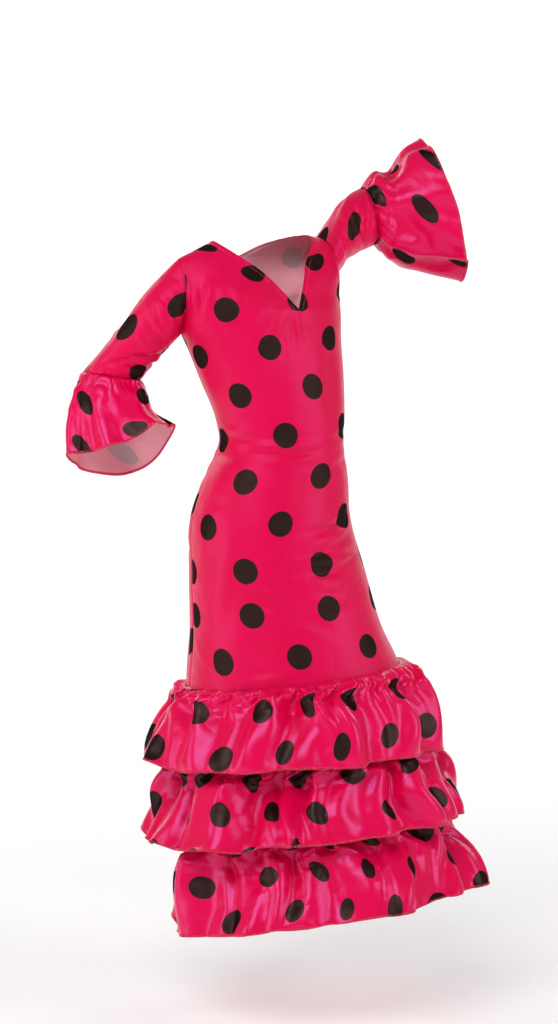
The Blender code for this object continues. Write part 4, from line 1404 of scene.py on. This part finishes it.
def satin(name, inside=False, crumple=0.3, gloss=0.3, shine=1.0, tone=1.0):
    """Satin. crumple is how strong its small folds are, gloss the least roughness, shine how much it
    reflects, and tone how far its pink is darkened: painted shade, set lowest for the body's panels and
    sleeves and higher for the ruffles and cuffs of the same cloth."""
    nodes = Nodes(name)
    place, u, v = nodes.flat()
    shader = nodes.shader.inputs
    in_dot = dots(nodes, u, v)
    slub = nodes.noise(place, 60.0, 2.0, (0.25, 14.0, 1.0))
    ground = satin_ground(nodes, place, slub, inside, tone)
    nodes.put(shader["Base Color"], nodes.mix(in_dot, ground, INSIDE_DOT if inside else DOT))
    rough = nodes.plus(nodes.times(slub, 0.10), gloss)
    nodes.put(shader["Roughness"], nodes.plus(nodes.times(in_dot, 0.16), rough))
    shader["IOR"].default_value = 1.45 if inside else 1.9
    shader["Specular IOR Level"].default_value = 0.25 if inside else shine
    nodes.put(shader["Specular Tint"], INSIDE_SHINE if inside else SHINE)
    nodes.put(shader["Metallic"], nodes.times(in_dot, 0.0 if inside else 0.88))
    shader["Sheen Weight"].default_value = 0.30 if inside else 0.02
    shader["Sheen Roughness"].default_value = 0.45
    nodes.put(shader["Sheen Tint"], SHEEN)
    nodes.put(shader["Normal"], satin_relief(nodes, place, u, v, crumple))
    return nodes.material


def thread(name, deep, pale):
    nodes = Nodes(name)
    shader = nodes.shader.inputs
    place = nodes.tree.nodes.new("ShaderNodeTexCoord").outputs["Object"]
    fleck = nodes.steps(nodes.noise(place, 900.0, 2.0), 0.45, 0.65)
    nodes.put(shader["Base Color"], nodes.mix(fleck, deep, pale))
    shader["Roughness"].default_value = 0.5
    nodes.put(shader["Specular Tint"], THREAD_SHINE)
    nodes.put(shader["Normal"], nodes.bump(nodes.noise(place, 2500.0), 0.4, 0.0002))
    return nodes.material


# ---------------------------------------------------------------- the pieces
# One satin in three copies: its pink is painted darker on the body than on the ruffles and cuffs (tone), as
# painted shade.
satin_out = satin("satin", crumple=0.16, gloss=0.36, shine=0.5, tone=0.91)
satin_full = satin("satin_ruffles", crumple=0.42, gloss=0.19, tone=0.96)
satin_cuff = satin("satin_cuffs", crumple=0.30, gloss=0.20, tone=0.95)
satin_in = satin("satin_wrong_side", inside=True, gloss=0.62)
sewing = thread("sewing_thread", THREAD, THREAD_PALE)
closed_seam = thread("closed_seam", SEAM_PINK, PINK)
both_sides = [satin_out, satin_in]
BODY = "root"
PANEL_AREAS = {"front": 0.259, "back": 0.225}  # square metres of each panel's cloth
RUFFLE_SEEDS = (23, 13, 3)  # from the lowest up
CUFF_SEEDS = (33, 43)


def place_piece(obj, nodes=()):
    """Puts a piece on the dress's body, in place of the solids that it dresses."""
    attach(obj, BODY)
    if nodes:
        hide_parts(*nodes)


# How each piece was cut from the printed cloth: the place in the piece where a dot of the given row
# lies, and how the print's two directions run there, as the steps u and v from it to across and down.
Print = namedtuple("Print", "u v row uu uv vu vv", defaults=[1.0, 0.0, 0.0, 1.0])
PRINTS = {
    "back": Print(0.165, -0.465, 40),
    "sleeve_right": Print(0.1549, -0.0087, 80, 1.120, 0.290, -0.223, 0.903),
    "sleeve_left": Print(0.1616, -0.0535, 120),
    "cuff_right": Print(0.0983, -0.0368, 160, 1.040, -0.160, -0.055, 1.000),
    "cuff_left": Print(0.1547, -0.0725, 200, 0.950, 0.340, -0.340, 0.930),
}
# The ruffles' print is drawn unevenly into their gathers: at each u, which column of the dots lies
# there, counted in whole dots, and how high on the strip an even row of them runs.
TierPrint = namedtuple("TierPrint", "row tall knots")
TIER_PRINTS = {
    "ruffle_top": TierPrint(240, 0.96, [
        (-0.40, -4.9, -0.045), (0.04, -0.45, -0.045), (0.11, 0.05, -0.045), (0.21, 1.0, -0.043),
        (0.28, 1.87, -0.037), (0.355, 2.9, -0.036), (0.413, 3.5, -0.032), (0.503, 4.5, -0.030),
        (0.60, 5.5, -0.030), (1.60, 15.6, -0.040),
    ]),
    "ruffle_middle": TierPrint(280, 1.10, [
        (-0.40, -5.5, -0.030), (0.02, -1.0, -0.029), (0.108, 0.0, -0.029), (0.19, 1.0, -0.025),
        (0.276, 2.0, -0.026), (0.37, 3.0, -0.034), (0.432, 3.55, -0.037), (0.526, 4.5, -0.037),
        (0.62, 5.5, -0.036), (1.60, 15.5, -0.030),
    ]),
    "ruffle_bottom": TierPrint(320, 1.14, [
        (-0.40, -4.3, -0.069), (-0.02, -0.56, -0.068), (0.04, -0.02, -0.069), (0.10, 0.50, -0.060),
        (0.15, 1.0, -0.056), (0.195, 1.5, -0.053), (0.24, 2.1, -0.054), (0.285, 2.8, -0.062),
        (0.32, 3.35, -0.069), (0.36, 3.9, -0.075), (0.454, 4.8, -0.077), (0.505, 5.3, -0.074),
        (0.60, 6.2, -0.073), (1.60, 16.4, -0.069),
    ]),
}
# The front's print leans with the pull of the raised arm: by height, where its middle column runs and
# how fast its rows climb towards the wearer's left.
Drift = namedtuple("Drift", "level middle climb")
FRONT_DRIFT = [
    Drift(-0.600, -0.024, 0.000),
    Drift(-0.480, -0.024, 0.013),
    Drift(-0.380, -0.026, 0.055),
    Drift(-0.273, -0.025, 0.062),
    Drift(-0.164, -0.038, 0.105),
    Drift(-0.052, -0.047, 0.114),
    Drift(0.100, -0.048, 0.114),
]
FRONT_TOP = -0.0021  # how far its rows are moved up


def printed(name, patches):
    for patch in patches:
        u, v = patch.flat[..., 0], patch.flat[..., 1]
        if name == "front":
            levels, middles, climbs = map(list, zip(*FRONT_DRIFT))
            across = u - smooth(levels, middles, v)
            down = v - smooth(levels, climbs, v) * across + FRONT_TOP
        elif name in TIER_PRINTS:
            drawn = TIER_PRINTS[name]
            at, columns, rows = map(list, zip(*drawn.knots))
            across = smooth(at, columns, u) * DOT_ACROSS
            down = drawn.tall * (v - smooth(at, rows, u)) + drawn.row * DOT_DOWN
        else:
            cut = PRINTS[name]
            du, dv = u - cut.u, v - cut.v
            across = cut.uu * du + cut.uv * dv
            down = cut.vu * du + cut.vv * dv + cut.row * DOT_DOWN
        patch.flat = np.stack([across, down], -1)
    return patches


def make_panels():
    """The front and the back, and the stitches along their neck."""
    stitches = []
    for name, area in PANEL_AREAS.items():
        front = name == "front"
        patches = panel_patches(front)
        piece = shell(f"satin_{name}", printed(name, patches), both_sides, ease_at=CHEST.level)
        place_piece(piece, [f"{name}_panel"])
        line = V_NECK if front else BACK_NECK
        stitches += [t for p in patches[1:] for t in neck_stitches(p, line.row * YOKE_SUBROWS)]
    place_piece(mesh_from_tubes("neck_stitches", stitches, sewing))


def make_seams():
    seams = [thread_tube(path, closed, SEAM_RADIUS, SEAM_SIDES) for path, closed in seam_paths()]
    place_piece(mesh_from_tubes("seams", seams, closed_seam))


def make_sleeves():
    for yoke in YOKES:
        patch, (girth, length) = sleeve_patch(yoke)
        piece = shell(f"satin_sleeve_{yoke.name}", printed(f"sleeve_{yoke.name}", [patch]), both_sides)
        place_piece(piece, [f"sleeve_{yoke.name}"])


def ruffle_strip(tier, seed):
    return Strip(
        name=tier.name,
        surface=tier_surface(tier),
        height=tier.height,
        gathers=TIER_GATHERS,
        columns=RUFFLE_COLUMNS,
        rows=RUFFLE_ROWS,
        lifted=0.35,
        cut=1.0,
        soft=1.0,
        growth=FOLD_GROWTH,
        seed=seed,
        gravity=0.5,
    )


def cuff_strip(yoke, seed):
    surface = cuff_surface(yoke.name)
    return Strip(
        name=f"cuff_{yoke.name}",
        surface=surface,
        height=surface_length(surface),
        gathers=CUFF_GATHERS,
        columns=CUFF_COLUMNS,
        rows=CUFF_ROWS,
        lifted=0.05,
        cut=CUFF_CUT[yoke.name],
        soft=0.2,
        growth=CUFF_FOLD_GROWTH,
        seed=seed,
        gravity=0.2,
    )


def make_strip(strip, under, outside):
    """A gathered strip and its overlocked edge. Gives the grid that the next strip lies on."""
    patch, grid, coarse, length = strip_patch(strip, under)
    piece = shell(f"satin_{strip.name}", printed(strip.name, [patch]), [outside, satin_in], bands=4)
    place_piece(piece, [strip.name])
    edging = overlock(f"overlock_{strip.name}", grid, sewing)
    place_piece(edging)
    return coarse


def make_strips():
    """The ruffles from the lowest up, as each lies over the one below it and the skirt, and the cuffs."""
    around = np.linspace(0, 360, SKIRT_COLUMNS, endpoint=False)
    skirt = tube(around, np.linspace(FOOT, SKIRT_TOP, SKIRT_ROWS)[:, None])
    under = [skirt]
    for tier, seed in zip(TIERS[::-1], RUFFLE_SEEDS):
        under = [skirt, make_strip(ruffle_strip(tier, seed), under, satin_full)]
    for yoke, seed in zip(YOKES, CUFF_SEEDS):
        make_strip(cuff_strip(yoke, seed), [], satin_cuff)


make_panels()
make_seams()
make_sleeves()
make_strips()


# ---------------------------------------------------------------- stage, light and camera
LENS_FAR = 3.5
CAMERA_AT = Vector((0.02625, -LENS_FAR, -0.047))
LOOK_AT = Vector((0.02625, 0.0, -0.3125))
HALF_HEIGHT = 0.640  # of what the picture shows at the dress
FLOOR = -0.94
FLOOR_FRONT, FLOOR_BACK, FLOOR_SIDE = 6.0, 3.2, 5.0
BEND = 1.2  # radius of the curve from the floor to the wall
BEND_STEPS = 12
WALL_TOP = 5.0
MIDDLE = (0, 0, -0.35)  # of the dress, where the lights look
WALL_MIDDLE = (0, 4.2, -0.2)
WORLD_STRENGTH = 0.26

Softbox = namedtuple("Softbox", "name at to wide high watts")
SOFTBOXES = [
    Softbox("key", (-0.9, -2.6, 1.7), MIDDLE, 2.4, 1.7, 66),
    Softbox("right", (2.7, -1.2, 0.5), MIDDLE, 1.5, 1.8, 30),
    Softbox("left", (-2.8, -0.9, 0.0), MIDDLE, 1.4, 1.8, 22),
    Softbox("wall_left", (-2.4, 2.6, 1.4), WALL_MIDDLE, 1.4, 1.4, 40),
    Softbox("wall_right", (2.4, 2.6, 1.4), WALL_MIDDLE, 1.4, 1.4, 40),
]


def plain(name, colour, roughness):
    nodes = Nodes(name)
    shader = nodes.shader.inputs
    place = nodes.tree.nodes.new("ShaderNodeTexCoord").outputs["Object"]
    tone = nodes.noise(place, 1.3)
    nodes.put(shader["Base Color"], nodes.mix(tone, colour, tuple(c * 0.985 for c in colour)))
    shader["Roughness"].default_value = roughness
    nodes.put(shader["Emission Color"], (1.0, 1.0, 1.0))
    shader["Emission Strength"].default_value = 0.15
    return nodes.material


def make_backdrop():
    """A pale floor that curves up into a wall behind."""
    profile = [(-FLOOR_FRONT, FLOOR), (FLOOR_BACK, FLOOR)]
    for i in range(1, BEND_STEPS + 1):
        angle = math.pi / 2 * i / BEND_STEPS
        profile.append((FLOOR_BACK + BEND * math.sin(angle), FLOOR + BEND * (1 - math.cos(angle))))
    profile.append((FLOOR_BACK + BEND, FLOOR + WALL_TOP))
    verts = [(x, y, z) for y, z in profile for x in (-FLOOR_SIDE, FLOOR_SIDE)]
    faces = [(2 * i, 2 * i + 1, 2 * i + 3, 2 * i + 2) for i in range(len(profile) - 1)]
    mesh = bpy.data.meshes.new("backdrop")
    mesh.from_pydata(verts, [], faces)
    mesh.shade_smooth()
    mesh.materials.append(plain("backdrop", (0.93, 0.93, 0.93), 0.8))
    placed("backdrop", mesh)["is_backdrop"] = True


def turn_to(obj, at, to):
    obj.location = at
    obj.rotation_euler = (Vector(to) - Vector(at)).to_track_quat("-Z", "Y").to_euler()


def make_light():
    for box in SOFTBOXES:
        light = bpy.data.lights.new(box.name, "AREA")
        light.shape = "RECTANGLE"
        light.size, light.size_y = box.wide, box.high
        light.energy = box.watts
        turn_to(placed(box.name, light), box.at, box.to)
    world = bpy.data.worlds.new("studio")
    world.use_nodes = True
    background = world.node_tree.nodes["Background"].inputs
    background["Color"].default_value = (1, 1, 1, 1)
    background["Strength"].default_value = WORLD_STRENGTH
    bpy.context.scene.world = world
    bpy.context.scene.view_settings.view_transform = "Standard"


def make_camera():
    lens = bpy.data.cameras.new("camera")
    lens.sensor_fit = "VERTICAL"
    lens.sensor_height = 24
    lens.lens = lens.sensor_height / 2 * (LOOK_AT - CAMERA_AT).length / HALF_HEIGHT
    lens.dof.use_dof = False
    camera = placed("camera", lens)
    turn_to(camera, CAMERA_AT, LOOK_AT)
    bpy.context.scene.camera = camera


make_backdrop()
make_light()
make_camera()

visual_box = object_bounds()
boxes = {"cad_box": cad_box, "visual_box": visual_box}
{k: [list(map(float, corner)) for corner in box] for k, box in boxes.items()}
